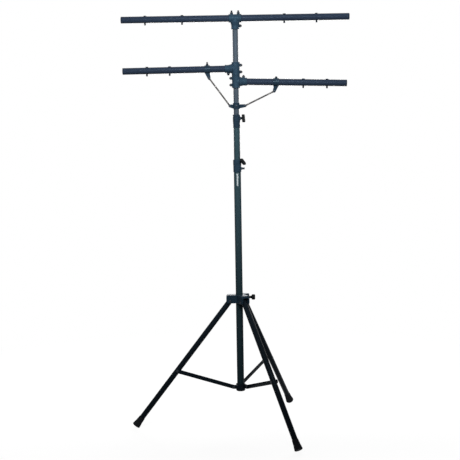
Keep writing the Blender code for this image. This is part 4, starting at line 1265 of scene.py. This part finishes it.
    def build_leg(self, side: str) -> None:
        """Builds a leg's tube, its plug and its ribbed foot.

        Args:
            side: Which leg.
        """
        lean = self.leg_frame(side)
        end = -self.leg_length + self.foot_length - self.foot_socket + FIT_GAP
        inner, top = self.leg_radius - self.leg_wall, self.leg_beyond_pivot
        body = "leg_" + side
        tube = pipe(self.leg_radius, inner, end, top)
        # The leg's paint is the mast's paint darkened: painted shade low on the stand.
        piece(f"{body}_tube", moved(tube, lean), body, Look.LEG_PAINTED_SHADE, body)
        crown, rim, bottom = (top - depth for depth in self.plug_depths)
        plug = lathe([(0.0, crown), (inner, rim), (inner, bottom), (0.0, bottom)])
        piece(f"{body}_plug", moved(plug, lean), body, Look.PLASTIC)

        foot = moved(lathe(self.foot_profile(), TUBE_FACETS), lean @ at_height(-self.leg_length))
        geometry = foot.verts[:] + foot.edges[:] + foot.faces[:]
        bmesh.ops.bisect_plane(
            foot, geom=geometry, plane_co=(0, 0, 0), plane_no=(0, 0, -1), clear_outer=True
        )
        rim_edges = [edge for edge in foot.edges if edge.is_boundary]
        bmesh.ops.holes_fill(foot, edges=rim_edges, sides=0)
        bmesh.ops.recalc_face_normals(foot, faces=foot.faces)
        piece(f"foot_{side}_boot", foot, body, Look.RUBBER, "foot_" + side)

    def foot_profile(self) -> list[Point]:
        """The section of a foot: its socket, ribs, flare and rounded sole.

        Returns:
            Points of (radius, height) above the sole.
        """
        top, sole, mouth = self.foot_length, self.sole_radius, self.leg_radius + FIT_GAP
        bottom, rib = top - self.foot_socket, self.rib_height
        profile: list[Point] = [(0.0, bottom), (mouth, bottom), (mouth, top)]
        profile += [(radius, top - depth) for radius, depth in self.foot_lip]
        for i in range(self.foot_ribs):
            height, waist = top * self.rib_start - i * self.rib_pitch, self.rib_root + rib * i
            upper, lower = self.rib_crest
            profile += [
                (waist, height + self.rib_pitch / 2), (waist + rib, height + upper),
                (waist + rib, height + lower), (waist, height),
            ]
        profile += [(radius, top * share) for radius, share in self.foot_flare]
        profile.append((sole - CHAMFER, top * self.sole_start))
        return profile + [(sole - inset, height) for inset, height in self.sole_curve] + [(0.0, 0.0)]

    def build_brace(self, side: str) -> None:
        """Builds a flat brace with its rounded ends and the outer head of its rivet.

        Args:
            side: Which leg it holds.
        """
        frame = self.frame(side, self.hub_offset, self.hub_pivot.z) @ turned(-self.brace_rise, "Y")
        end, length = self.brace_depth / 2, self.brace_length
        outline = arc((length, 0.0), end, -90, 90, 14) + arc((0.0, 0.0), end, 90, 270, 14)
        bar = soften(slab(outline, self.brace_thickness, self.brace_plane), self.brace_round)
        body = "brace_" + side
        # The brace's paint is the mast's paint darkened: painted shade low on the stand.
        piece(f"{body}_bar", moved(bar, frame), body, Look.LEG_PAINTED_SHADE, body)
        place = Matrix.Translation((length, self.brace_plane + self.brace_thickness / 2, 0.0)) @ ACROSS
        head = moved(dome(self.brace_head, 0.0, self.brace_head_height), place)
        piece(f"{body}_rivet_head", moved(head, frame), body, Look.BLACK_STEEL)

    def dress(self) -> None:
        """Adds the knob, and the pins and rivets that everything turns on."""
        self.dress_knob()
        half_lobe = self.leg_radius + FIT_GAP + self.cheek
        half_ear = self.brace_thickness / 2 + FIT_GAP + self.ear_cheek
        stub = self.leg_radius + self.side_gap - 2 * FIT_GAP
        for side in HEADINGS:
            across = turned(HEADINGS[side], "Z") @ ACROSS
            for kind, half, body in (("leg_pin_", half_lobe, "leg_collar"), ("hub_pin_", half_ear, "base")):
                node = kind + side
                pin = rivet(half, self.pin_radius, self.pin_head, self.pin_head_height)
                pin = moved(pin, Matrix.Translation(middle_of(node)) @ across)
                piece(node + "_steel", pin, body, Look.BLACK_STEEL, node)
            head = moved(dome(self.pin_head, self.leg_radius, self.rivet_head_height), turned(math.pi, "X"))
            pin = merged(post(self.pin_radius, -self.leg_radius, stub, SMALL_FACETS), head)
            pin = moved(pin, self.leg_frame(side) @ at_height(-self.brace_joint) @ ACROSS)
            piece(f"leg_rivet_{side}_steel", pin, "leg_" + side, Look.BLACK_STEEL, "leg_rivet_" + side)

    def dress_knob(self) -> None:
        """Adds the leg collar's screw with its lobed grip."""
        frame = outward(0.0, self.collar_pivot.z + self.boss_height)
        near, steps = self.grip_start, 72
        screw = clamping_screw(span_of("lower_tube")[1].x + TIP_GAP, near - self.grip_seat)
        piece("leg_collar_screw", moved(screw, frame), "leg_collar_knob", Look.BLACK_STEEL)
        outline = []
        for i in range(steps):
            angle = math.tau * i / steps
            radius = self.grip_radius + self.grip_lobe_height * math.cos(self.grip_lobes * angle)
            outline.append((radius * math.cos(angle), radius * math.sin(angle)))
        middle = near + self.grip_thickness / 2
        grip = soften(level_slab(outline, self.grip_thickness, middle), self.grip_round, 4)
        upper, lower = self.neck_radii
        neck = lathe([
            (0.0, middle), (self.grip_neck, middle), (upper, near - self.neck_waist),
            (lower, self.neck_start), (0.0, self.neck_start),
        ])
        knob = cast([grip, neck], [], self.grip_skin, 3)
        piece("leg_collar_grip", moved(knob, frame), "leg_collar_knob", Look.PLASTIC, "leg_collar_knob")


@dataclass
class TeeFitting:
    """A T-fitting with its set bolts and the screw in its stem.

    Args:
        node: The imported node.
        body: The body that it rides on.
        frame: Where it stands: sleeve along Z, stem along X, set bolts at -X.
        sleeve_bore: Radius of the bore through its sleeve.
        stem_bore: Radius of the stem's socket.
        tilt: How far the stem leans.
        bolt_reach: Its set bolts' ends, from the sleeve's axis.
    """

    node: str
    body: str
    frame: Matrix
    sleeve_bore: float
    stem_bore: float
    tilt: float = 0.0
    bolt_reach: float = 0.0350
    radius: float = 0.021
    length: float = 0.068
    rim: float = 0.0010
    rim_width: float = 0.006
    rim_round: float = 0.0008
    stem_radius: float = 0.0205
    stem_reach: float = 0.058
    flare: tuple[Point, ...] = ((0.0225, 0.031), (0.0260, 0.019), (0.0, 0.010))
    flare_reach: float = 0.042
    flare_sunk: float = 0.001
    socket_start: float = 0.0225
    boss_radius: float = 0.0075
    boss_height: float = 0.0030
    bolt_spacing: float = 0.0355
    stem_screw: float = 0.040
    stem_screw_reach: float = 0.0115
    skin: float = 0.0011

    def build(self) -> None:
        """Casts the fitting, then dresses it with its bolts."""
        half, lean = self.length / 2, turned(self.tilt, "Y")
        solids = [post(self.radius, -half, half, TUBE_FACETS)]
        for low, high in ((-half, -(half - self.rim_width)), (half - self.rim_width, half)):
            solids.append(soften(post(self.radius + self.rim, low, high, TUBE_FACETS), self.rim_round))
        start, root = self.stem_reach - self.rim_width, self.stem_radius - self.flare_sunk
        stem = post(self.stem_radius, 0, self.stem_reach, TUBE_FACETS)
        band = soften(post(self.stem_radius + self.rim, start, self.stem_reach, TUBE_FACETS), self.rim_round)
        flare = lathe([(0.0, self.flare_reach), (root, self.flare_reach), *self.flare], TUBE_FACETS)
        solids += [moved(shape, lean @ ALONG) for shape in (stem, band, flare)]
        for sign in (-1, 1):
            height = sign * self.bolt_spacing / 2
            face = (-self.radius - self.boss_height, 0, height)
            solids.append(rod(self.boss_radius, face, (-self.radius / 2, 0, height)))
        top = self.stem_radius + self.boss_height
        boss = rod(self.boss_radius, (self.stem_screw, 0, self.stem_radius / 2), (self.stem_screw, 0, top))
        solids.append(moved(boss, lean))
        socket = rod(self.stem_bore, (self.socket_start, 0, 0), (THROUGH, 0, 0), TUBE_FACETS)
        shape = cast(solids, [bore_cut(self.sleeve_bore), moved(socket, lean)], self.skin, 3)
        piece(self.node + "_casting", moved(shape, self.frame), self.body, Look.CASTING, self.node)
        self.dress(lean)

    def dress(self, lean: Matrix) -> None:
        """Adds the two set bolts and the stem's screw.

        Args:
            lean: The stem's lean.
        """
        face = self.radius + self.boss_height
        for number, sign in enumerate((1, -1), 1):
            bolt = SetBolt(self.sleeve_bore, face, self.bolt_reach).shape()
            place = self.frame @ at_height(sign * self.bolt_spacing / 2) @ BACK_ALONG
            piece(f"{self.node}_set_bolt_{number}", moved(bolt, place), self.body, Look.BLACK_STEEL)
        face = self.stem_radius + self.boss_height
        bolt = SetBolt(self.stem_bore, face, face + self.stem_screw_reach).shape()
        place = self.frame @ lean @ along_x(self.stem_screw)
        piece(f"{self.node}_stem_screw", moved(bolt, place), self.body, Look.BLACK_STEEL)


@dataclass
class Bar:
    """A bar along X with its caps and lamp bolts.

    Args:
        node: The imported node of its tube.
        body: The body that it rides on.
        frame: The bar's frame: X along it, Z up.
        start: Where its tube starts.
        end: Where it ends.
        bolts: Each bolt's node.
        caps: Each cap's node, with the side that it closes.
    """

    node: str
    body: str
    frame: Matrix
    start: float
    end: float
    bolts: Sequence[str]
    caps: dict[str, int]
    radius: float = BAR_RADIUS
    wall: float = 0.0015
    cap_rim: float = 0.0012
    cap_crown: float = 0.0018
    spigot: float = 0.014
    bolt_radius: float = 0.005
    head_radius: float = 0.009
    head_height: float = 0.0038
    head_root: float = 0.001
    stub: float = 0.012

    def build(self) -> None:
        """Builds the tube, then dresses it with caps and bolts."""
        tube = pipe(self.radius, self.radius - self.wall, self.start, self.end)
        piece(self.node + "_skin", moved(tube, self.frame @ ALONG), self.body, Look.BAR, self.node)
        self.dress()

    def dress(self) -> None:
        """Closes the ends and drops the lamp bolts through."""
        inner = self.radius - self.wall - FIT_GAP
        curve = arc((0.0, 0.0), 1.0, 90, 0, 8)
        crown = [(x * self.radius, self.cap_rim + z * self.cap_crown) for x, z in curve]
        profile = [*crown, (self.radius, 0.0), (inner, 0.0), (inner, -self.spigot), (0.0, -self.spigot)]
        for node, sign in self.caps.items():
            edge, turn = (self.end, ALONG) if sign > 0 else (self.start, BACK_ALONG)
            place = self.frame @ along_x(edge + sign * FIT_GAP) @ turn
            piece(node + "_moulding", moved(lathe(profile), place), self.body, Look.PLASTIC, node)
        under, tip = self.radius + FIT_GAP, -self.radius - self.stub
        for node in self.bolts:
            head = dome(self.head_radius, under, self.head_height)
            bolt = merged(threaded(self.bolt_radius, tip, under + self.head_root), head)
            place = self.frame @ along_x((self.frame.inverted() @ middle_of(node)).x)
            piece(node + "_steel", moved(bolt, place), self.body, Look.BLACK_STEEL, node)


@dataclass
class ArmBrace:
    """One arm's strap, its brace rod and their pins.

    Args:
        side: left or right.
        frame: The arm's frame.
        sign: Which way the arm points along X.
        strap_at: The strap's place along the arm.
        collar_pin: The collar's pin, in the row frame.
        bolt_reach: The end of the strap's bolt, from the arm's axis.
    """

    side: str
    frame: Matrix
    sign: int
    strap_at: float
    collar_pin: Vector
    bolt_reach: float
    bar_radius: float = BAR_RADIUS
    strap_wall: float = 0.003
    strap_width: float = 0.030
    strap_edge: float = 0.001
    shoulder: float = 0.004
    boss_radius: float = 0.0075
    boss_height: float = 0.0022
    boss_root: float = 0.0012
    pin_inward: float = 0.009
    pin_below: float = 0.048
    lug_thickness: float = 0.0094
    lug_tip: float = 0.0078
    slot: float = 0.0046
    slot_above: float = 0.0105
    rod_radius: float = 0.0042
    rod_neck: float = 0.012
    shaft_gap: float = 0.0015
    flat_run: float = 0.006
    flat_share: float = 0.9
    stub_run: float = 0.004
    eye_radius: float = 0.0075
    eye_thickness: float = 0.0040
    pin_radius: float = 0.003
    pin_head: float = 0.0055
    pin_head_height: float = 0.0020
    strap_skin: float = 0.0008
    eye_skin: float = 0.0006

    def build(self) -> None:
        """Builds the strap and the rod, then dresses the strap with its bolt."""
        half, edge = self.strap_width / 2, self.strap_width / 2 - self.strap_edge
        inner = self.bar_radius + FIT_GAP
        outer = inner + self.strap_wall
        pin = (-self.pin_inward, -self.pin_below)
        top, gap = -inner - self.strap_wall / 2, self.slot / 2
        ring = moved(sleeve(outer, inner, -half, half), ALONG)
        tip = arc(pin, self.lug_tip, -20, -180)
        outline = [(edge, top), *tip, (-half + self.strap_edge, -outer - self.shoulder),
                   (-half + self.strap_edge, top)]
        boss = post(self.boss_radius, inner + self.boss_root, outer + self.boss_height)
        low = (-THROUGH, -gap, pin[1] - THROUGH / 2)
        cuts = [
            block(low, (THROUGH, gap, pin[1] + self.slot_above)), pin_cut(self.pin_radius + FIT_GAP, *pin),
        ]
        frame = self.frame @ along_x(self.strap_at)
        shape = cast([ring, slab(outline, self.lug_thickness), boss], cuts, self.strap_skin)
        name = f"{self.side}_strap"
        piece(name + "_casting", moved(shape, frame), "side_arms", Look.DARK_CASTING, name)
        self.build_rod(frame @ Vector((pin[0], 0.0, pin[1])))
        face = outer + self.boss_height
        bolt = SetBolt(self.bar_radius, face, self.bolt_reach, shank=0.0045, nut=0.0078, nut_height=0.0050)
        piece(name + "_bolt", moved(bolt.shape(), frame), "side_arms", Look.BLACK_STEEL)

    def build_rod(self, high: Vector) -> None:
        """Builds the rod with its two flattened eyes and their pins.

        Args:
            high: The strap's pin.
        """
        low = self.collar_pin
        way = high - low
        rise = math.atan2(way.z, self.sign * way.x)
        turn = turned(0.0 if self.sign > 0 else math.pi, "Z") @ turned(-rise, "Y")
        length, inset = way.length, self.rod_neck + self.shaft_gap
        shaft = rod(self.rod_radius, (inset, 0, 0), (length - inset, 0, 0))
        far = moved(self.eye(), along_x(length) @ turned(math.pi, "Z"))
        shape = moved(merged(shaft, self.eye(), far), Matrix.Translation(low) @ turn)
        piece(f"{self.side}_rod_steel", shape, "side_arms", Look.DULL_STEEL, f"{self.side}_brace_rod")
        for end, point in (("lower", low), ("upper", high)):
            node = f"{self.side}_rod_pin_{end}"
            pin = rivet(self.lug_thickness / 2, self.pin_radius, self.pin_head, self.pin_head_height)
            pin = moved(pin, Matrix.Translation(point) @ ACROSS)
            piece(node + "_steel", pin, "side_arms", Look.BLACK_STEEL, node)

    def eye(self) -> BMesh:
        """A rod's end, flattened and drilled about the origin, with the start of its shaft along X.

        Returns:
            A closed shape.
        """
        reach, width = self.rod_neck + self.flat_run, self.rod_radius * self.flat_share
        outline = [*arc((0.0, 0.0), self.eye_radius, 40, 320, 16), (reach, -width), (reach, width)]
        stub = rod(self.rod_radius, (self.rod_neck, 0, 0), (reach + self.stub_run, 0, 0), SMALL_FACETS)
        hole = pin_cut(self.pin_radius + FIT_GAP, 0, 0)
        return cast([slab(outline, self.eye_thickness), stub], [hole], self.eye_skin)


@dataclass
class BraceCollar:
    """The collar on the mast that both rods meet.

    Args:
        height: Its middle.
        pins: Each side's pin, with its place along X.
    """

    height: float
    pins: dict[str, float]
    tall: float = 0.034
    wall: float = 0.0036
    edge: float = 0.0006
    ear_thickness: float = 0.0094
    ear_tip: float = 0.0078
    ear_foot: float = 0.004
    slot: float = 0.0046
    slot_room: float = 0.001
    pin_bore: float = 0.0033
    screw_seat: float = 0.0008
    skin: float = 0.0008

    def build(self) -> None:
        """Casts the collar with its slotted ears, then dresses it with a set screw."""
        half, tall = self.tall / 2, THROUGH / 2
        inner = span_of("top_tube")[1].x + FIT_GAP
        outer = inner + self.wall
        start, foot = inner + self.wall / 2, -half + self.ear_foot
        solids, cuts = [soften(sleeve(outer, inner, -half, half), self.edge)], []
        for x in self.pins.values():
            sign = math.copysign(1.0, x)
            tip = arc((abs(x), 0.0), self.ear_tip, 90, -75)
            ear = [(start, self.ear_tip), *tip, (outer + self.ear_foot, foot), (start, foot)]
            solids.append(slab([(sign * a, b) for a, b in ear], self.ear_thickness))
            low, high = sorted((sign * (outer + self.slot_room), sign * THROUGH))
            cuts.append(block((low, -self.slot / 2, -tall), (high, self.slot / 2, tall)))
            cuts.append(pin_cut(self.pin_bore, x, 0))
        shape = moved(cast(solids, cuts, self.skin), at_height(self.height))
        piece("brace_collar_casting", shape, "side_arms", Look.DARK_CASTING, "brace_collar")
        screw = Screw(
            shank=0.0030, head=0.0052, head_height=0.0040, start=span_of("top_tube")[1].x,
            under_head=outer + self.screw_seat,
        )
        place = outward(-QUARTER, self.height)
        piece("brace_collar_screw", moved(screw.shape(), place), "side_arms", Look.BLACK_STEEL)


@dataclass(frozen=True)
class ArmSizes:
    """What differs between the side arms.

    Args:
        sign: Which way it points along X.
        droop: How far it leans down.
        reach: Its end, from the mast's axis.
        strap_at: The strap's place along it.
        pin: The brace collar's pin for it, from the mast's axis.
        bolt_reach: The end of the strap's bolt, from the arm's axis.
    """

    sign: int
    droop: float
    reach: float
    strap_at: float
    pin: float
    bolt_reach: float


@dataclass
class SideArms:
    """Both side arms with their fittings, straps and rods, and the collar that the rods meet.

    Args:
        height: Height of the right arm.
        left: The left arm's sizes.
        right: The right arm's sizes.
        fitting: Length of a fitting on the mast, and so the left arm's height above the right one.
        bar_start: Where a bar starts in its fitting.
        cap: Height of a bar's cap.
    """

    height: float
    left: ArmSizes = ArmSizes(-1, math.radians(0.5), 0.602, 0.151, 0.034, 0.0385)
    right: ArmSizes = ArmSizes(1, math.radians(1.65), 0.590, 0.213, 0.047, 0.0300)
    fitting: float = 0.068
    bar_start: float = 0.026
    cap: float = 0.003

    def build(self) -> None:
        """Builds the arms, then the collar on the mast."""
        middle = middle_of("brace_collar").z
        self.build_arm("left", self.left, self.height + self.fitting + FIT_GAP, middle)
        self.build_arm("right", self.right, self.height, middle)
        BraceCollar(middle, {"left": -self.left.pin, "right": self.right.pin}).build()

    def build_arm(self, side: str, sizes: ArmSizes, height: float, collar_height: float) -> None:
        """Builds one arm.

        Args:
            side: left or right.
            sizes: The arm's own sizes.
            height: Its height at the mast.
            collar_height: The brace collar's height.
        """
        sign, heading = sizes.sign, 0.0 if sizes.sign > 0 else math.pi
        frame = at_height(height) @ turned(heading, "Z") @ turned(sizes.droop, "Y")
        bores = (span_of("top_tube")[1].x + SLIDE_GAP, BAR_RADIUS + SLIDE_GAP)
        fitting = at_height(height) @ turned(heading, "Y")
        TeeFitting(f"{side}_tee", "side_arms", fitting, *bores, sign * sizes.droop).build()
        bolts = [f"{side}_arm_bolt_{i}" for i in (1, 2)]
        end = sizes.reach - self.cap - FIT_GAP
        Bar(f"{side}_arm", "side_arms", frame, self.bar_start, end, bolts, {f"{side}_arm_cap": 1}).build()
        pin = Vector((sign * sizes.pin, 0.0, collar_height))
        ArmBrace(side, frame, sign, sizes.strap_at, pin, sizes.bolt_reach).build()


# Studio


@dataclass(frozen=True)
class Lamp:
    """A rectangular area lamp that aims at the mast.

    Args:
        name: Its name.
        place: Where it hangs.
        size: Its width and height.
        aim: The height that it aims at.
        power: Its power, in watts.
        spread: Its spread, in degrees.
    """

    name: str
    place: Place
    size: Point
    aim: float
    power: float
    spread: float

    def hang(self) -> None:
        """Adds the lamp to the scene."""
        data = bpy.data.lights.new(self.name, "AREA")
        data.shape = "RECTANGLE"
        data.size, data.size_y = self.size
        data.energy = self.power
        data.spread = math.radians(self.spread)
        way = Vector((0.0, 0.0, self.aim)) - Vector(self.place)
        turn = way.to_track_quat("-Z", "Y").to_matrix().to_4x4()
        linked(self.name, data).matrix_world = Matrix.Translation(self.place) @ turn


LAMPS = (
    Lamp("key_lamp", (0.1, -2.2, 2.75), (3.0, 0.4), aim=2.05, power=45.0, spread=80.0),
    Lamp("fill_lamp", (-2.6, -3.0, 1.6), (1.2, 1.2), aim=1.7, power=3.0, spread=90.0),
    Lamp("back_lamp", (0.4, 3.0, 1.9), (2.4, 0.8), aim=1.7, power=26.0, spread=110.0),
)


@dataclass
class Studio:
    """Camera, lamps, world and floor.

    Args:
        distance: The camera's distance from the mast, along Y.
        height: Its height.
        tilt: How far it looks up.
        roll: How far the picture is turned.
        pan: How far it looks to the right.
        focal_pixels: Its focal length, in pixels of the photograph.
        sensor: Width of its sensor, in millimetres.
        floor_radius: Radius of the floor.
        floor_drop: How far the floor lies below the feet.
        fade_start: Where the floor starts to fade into plain white.
        fade_end: Where it has faded, as a share of its radius.
        shadow_depth: Share of the floor's white that the lamps give, and so what a shadow takes.
        floor_glow: The floor's own white round the stand, which with the lamps' share comes to 1.
        paper: Brightness of the floor's paper.
        plain_light: The world's light on the object.
        bounce: Share of the lamps' light that the floor throws back at the object.
    """

    distance: float = 6.296
    height: float = 1.766
    tilt: float = math.radians(-6.203)
    roll: float = math.radians(0.940)
    pan: float = math.radians(-0.405)
    focal_pixels: float = 1176.4
    sensor: float = 36.0
    floor_radius: float = 3.0
    floor_sides: int = 96
    floor_drop: float = 0.0005
    fade_start: float = 0.5
    fade_end: float = 0.9
    shadow_depth: float = 0.25
    floor_glow: float = 1.24
    paper: float = 0.9
    plain_light: float = 0.05
    bounce: float = 0.35

    def build(self) -> None:
        """Sets up the camera, a wide key lamp, a fill lamp, a back lamp, the world and the floor."""
        self.place_camera()
        for lamp in LAMPS:
            lamp.hang()
        self.make_world()
        self.make_floor()
        bpy.context.scene.view_settings.view_transform = "Standard"

    def place_camera(self) -> None:
        """Sets the camera from its height, tilt, pan and roll."""
        data = bpy.data.cameras.new("camera")
        data.sensor_width = self.sensor
        data.lens = self.focal_pixels / IMAGE_SIDE * self.sensor
        data.clip_end = 100.0
        camera = linked("camera", data)
        ahead = Vector((math.sin(self.pan), math.cos(self.pan), 0.0))
        right = Vector((math.cos(self.pan), -math.sin(self.pan), 0.0))
        up = Vector((0.0, 0.0, 1.0))
        look = ahead * math.cos(self.tilt) + up * math.sin(self.tilt)
        top = up * math.cos(self.tilt) - ahead * math.sin(self.tilt)
        level = right * math.cos(self.roll) - top * math.sin(self.roll)
        upright = right * math.sin(self.roll) + top * math.cos(self.roll)
        turn = Matrix((level, upright, -look)).transposed().to_4x4()
        camera.matrix_world = Matrix.Translation((0.0, -self.distance, self.height)) @ turn
        bpy.context.scene.camera = camera

    def make_world(self) -> None:
        """White to the camera and in reflections, and a plain level of light on the object."""
        world = bpy.data.worlds.new("studio")
        board = Board.of(world)
        seen = self.seen(board)
        lit, white = (
            board.add("ShaderNodeBackground", {"Color": (*WHITE, 1.0), "Strength": strength}).outputs[0]
            for strength in (self.plain_light, 1.0)
        )
        both = board.add("ShaderNodeMixShader", {0: seen, 1: lit, 2: white})
        board.add("ShaderNodeOutputWorld", {"Surface": both.outputs[0]})
        bpy.context.scene.world = world

    @staticmethod
    def seen(board: Board) -> Socket:
        """Whether a ray comes from the camera, a reflection or clear material.

        Args:
            board: The world's or the floor's board.

        Returns:
            1 where it does, and otherwise 0.
        """
        rays = board.add("ShaderNodeLightPath").outputs
        either = board.math("MAXIMUM", rays["Is Camera Ray"], rays["Is Transmission Ray"])
        return board.math("MAXIMUM", either, rays["Is Glossy Ray"])

    def make_floor(self) -> None:
        """A white floor round the stand that keeps its soft shadow and fades into the white beyond."""
        shape = bmesh.new()
        bmesh.ops.create_circle(shape, cap_ends=True, segments=self.floor_sides, radius=self.floor_radius)
        floor = linked("studio_floor", meshed("studio_floor", shape))
        made = bpy.data.materials.new("studio_floor")
        board = Board.of(made)
        place = board.add("ShaderNodeTexCoord").outputs["Object"]
        away = board.add("ShaderNodeVectorMath", {0: place}, operation="LENGTH").outputs["Value"]
        fade = (self.fade_start, self.floor_radius * self.fade_end)
        keeps = board.span(away, *fade, self.shadow_depth, 0.0)
        own_white = board.span(away, *fade, self.floor_glow, 1.0)
        paper, bounce = (
            board.add("ShaderNodeBsdfDiffuse", {"Color": (grey, grey, grey, 1.0)}).outputs[0]
            for grey in (self.paper, self.bounce)
        )
        glow = board.add("ShaderNodeEmission", {"Color": (*WHITE, 1.0), "Strength": own_white}).outputs[0]
        shown = board.add("ShaderNodeMixShader", {0: keeps, 1: glow, 2: paper}).outputs[0]
        both = board.add("ShaderNodeMixShader", {0: self.seen(board), 1: bounce, 2: shown})
        board.add("ShaderNodeOutputMaterial", {"Surface": both.outputs[0]})
        floor.data.materials.append(made)
        floor.location.z = -self.floor_drop


def build_mast(plunger: IndexPlunger) -> None:
    """Builds the mast with its two clamp collars and the plunger.

    Args:
        plunger: The plunger in the lower collar.
    """
    Mast().build()
    ClampCollar(
        "lower", "base", "lower_tube", "middle_tube", overlap=0.040, head=0.026,
        screw_heading=math.radians(-43), screw_drop=0.010, boss_reach=0.0265, wing_reach=0.034,
        wing_turn=math.radians(45), plunger=plunger,
    ).build()
    ClampCollar(
        "upper", "middle_stage", "middle_tube", "top_tube", overlap=0.032, head=0.037,
        screw_heading=math.radians(-15), screw_drop=0.020, boss_reach=0.0245, wing_reach=0.031,
        wing_turn=math.radians(18), look=Look.DARK_CASTING,
    ).build()
    plunger.build()


def build_t_bar(crown: float) -> None:
    """Builds the fitting on top of the mast and the T-bar in it.

    Args:
        crown: The T-bar's height.
    """
    bores = {"sleeve_bore": 0.0179, "stem_bore": 0.0149}
    TeeFitting("top_tee", "t_bar", at_height(crown) @ ALONG, **bores, bolt_reach=0.0405).build()
    half = span_of("t_bar")[1].x
    bolts = [f"t_bar_bolt_{i}" for i in (1, 2, 3, 4)]
    caps = {"t_bar_cap_left": -1, "t_bar_cap_right": 1}
    Bar("t_bar", "t_bar", at_height(crown), -half, half, bolts, caps).build()


def main() -> None:
    """Builds the stand's pieces round its frame, then the studio."""
    logging.basicConfig(level=logging.INFO, format="%(name)s %(message)s")
    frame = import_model()
    joints = frame["joints"]

    for node, made in frame["nodes"].items():
        look = Look.NYLON if "bush" in node else Look.BLACK_STEEL
        made.data.materials.clear()
        made.data.materials.append(look.value.material())

    build_mast(IndexPlunger())
    Tripod(joint_place(joints, "leg_fold_left"), joint_place(joints, "brace_fold_left")).build()
    build_t_bar(joint_place(joints, "t_bar_swivel").z)
    SideArms(joint_place(joints, "side_arms_swivel").z).build()
    Studio().build()


if __name__ == "__main__":
    main()
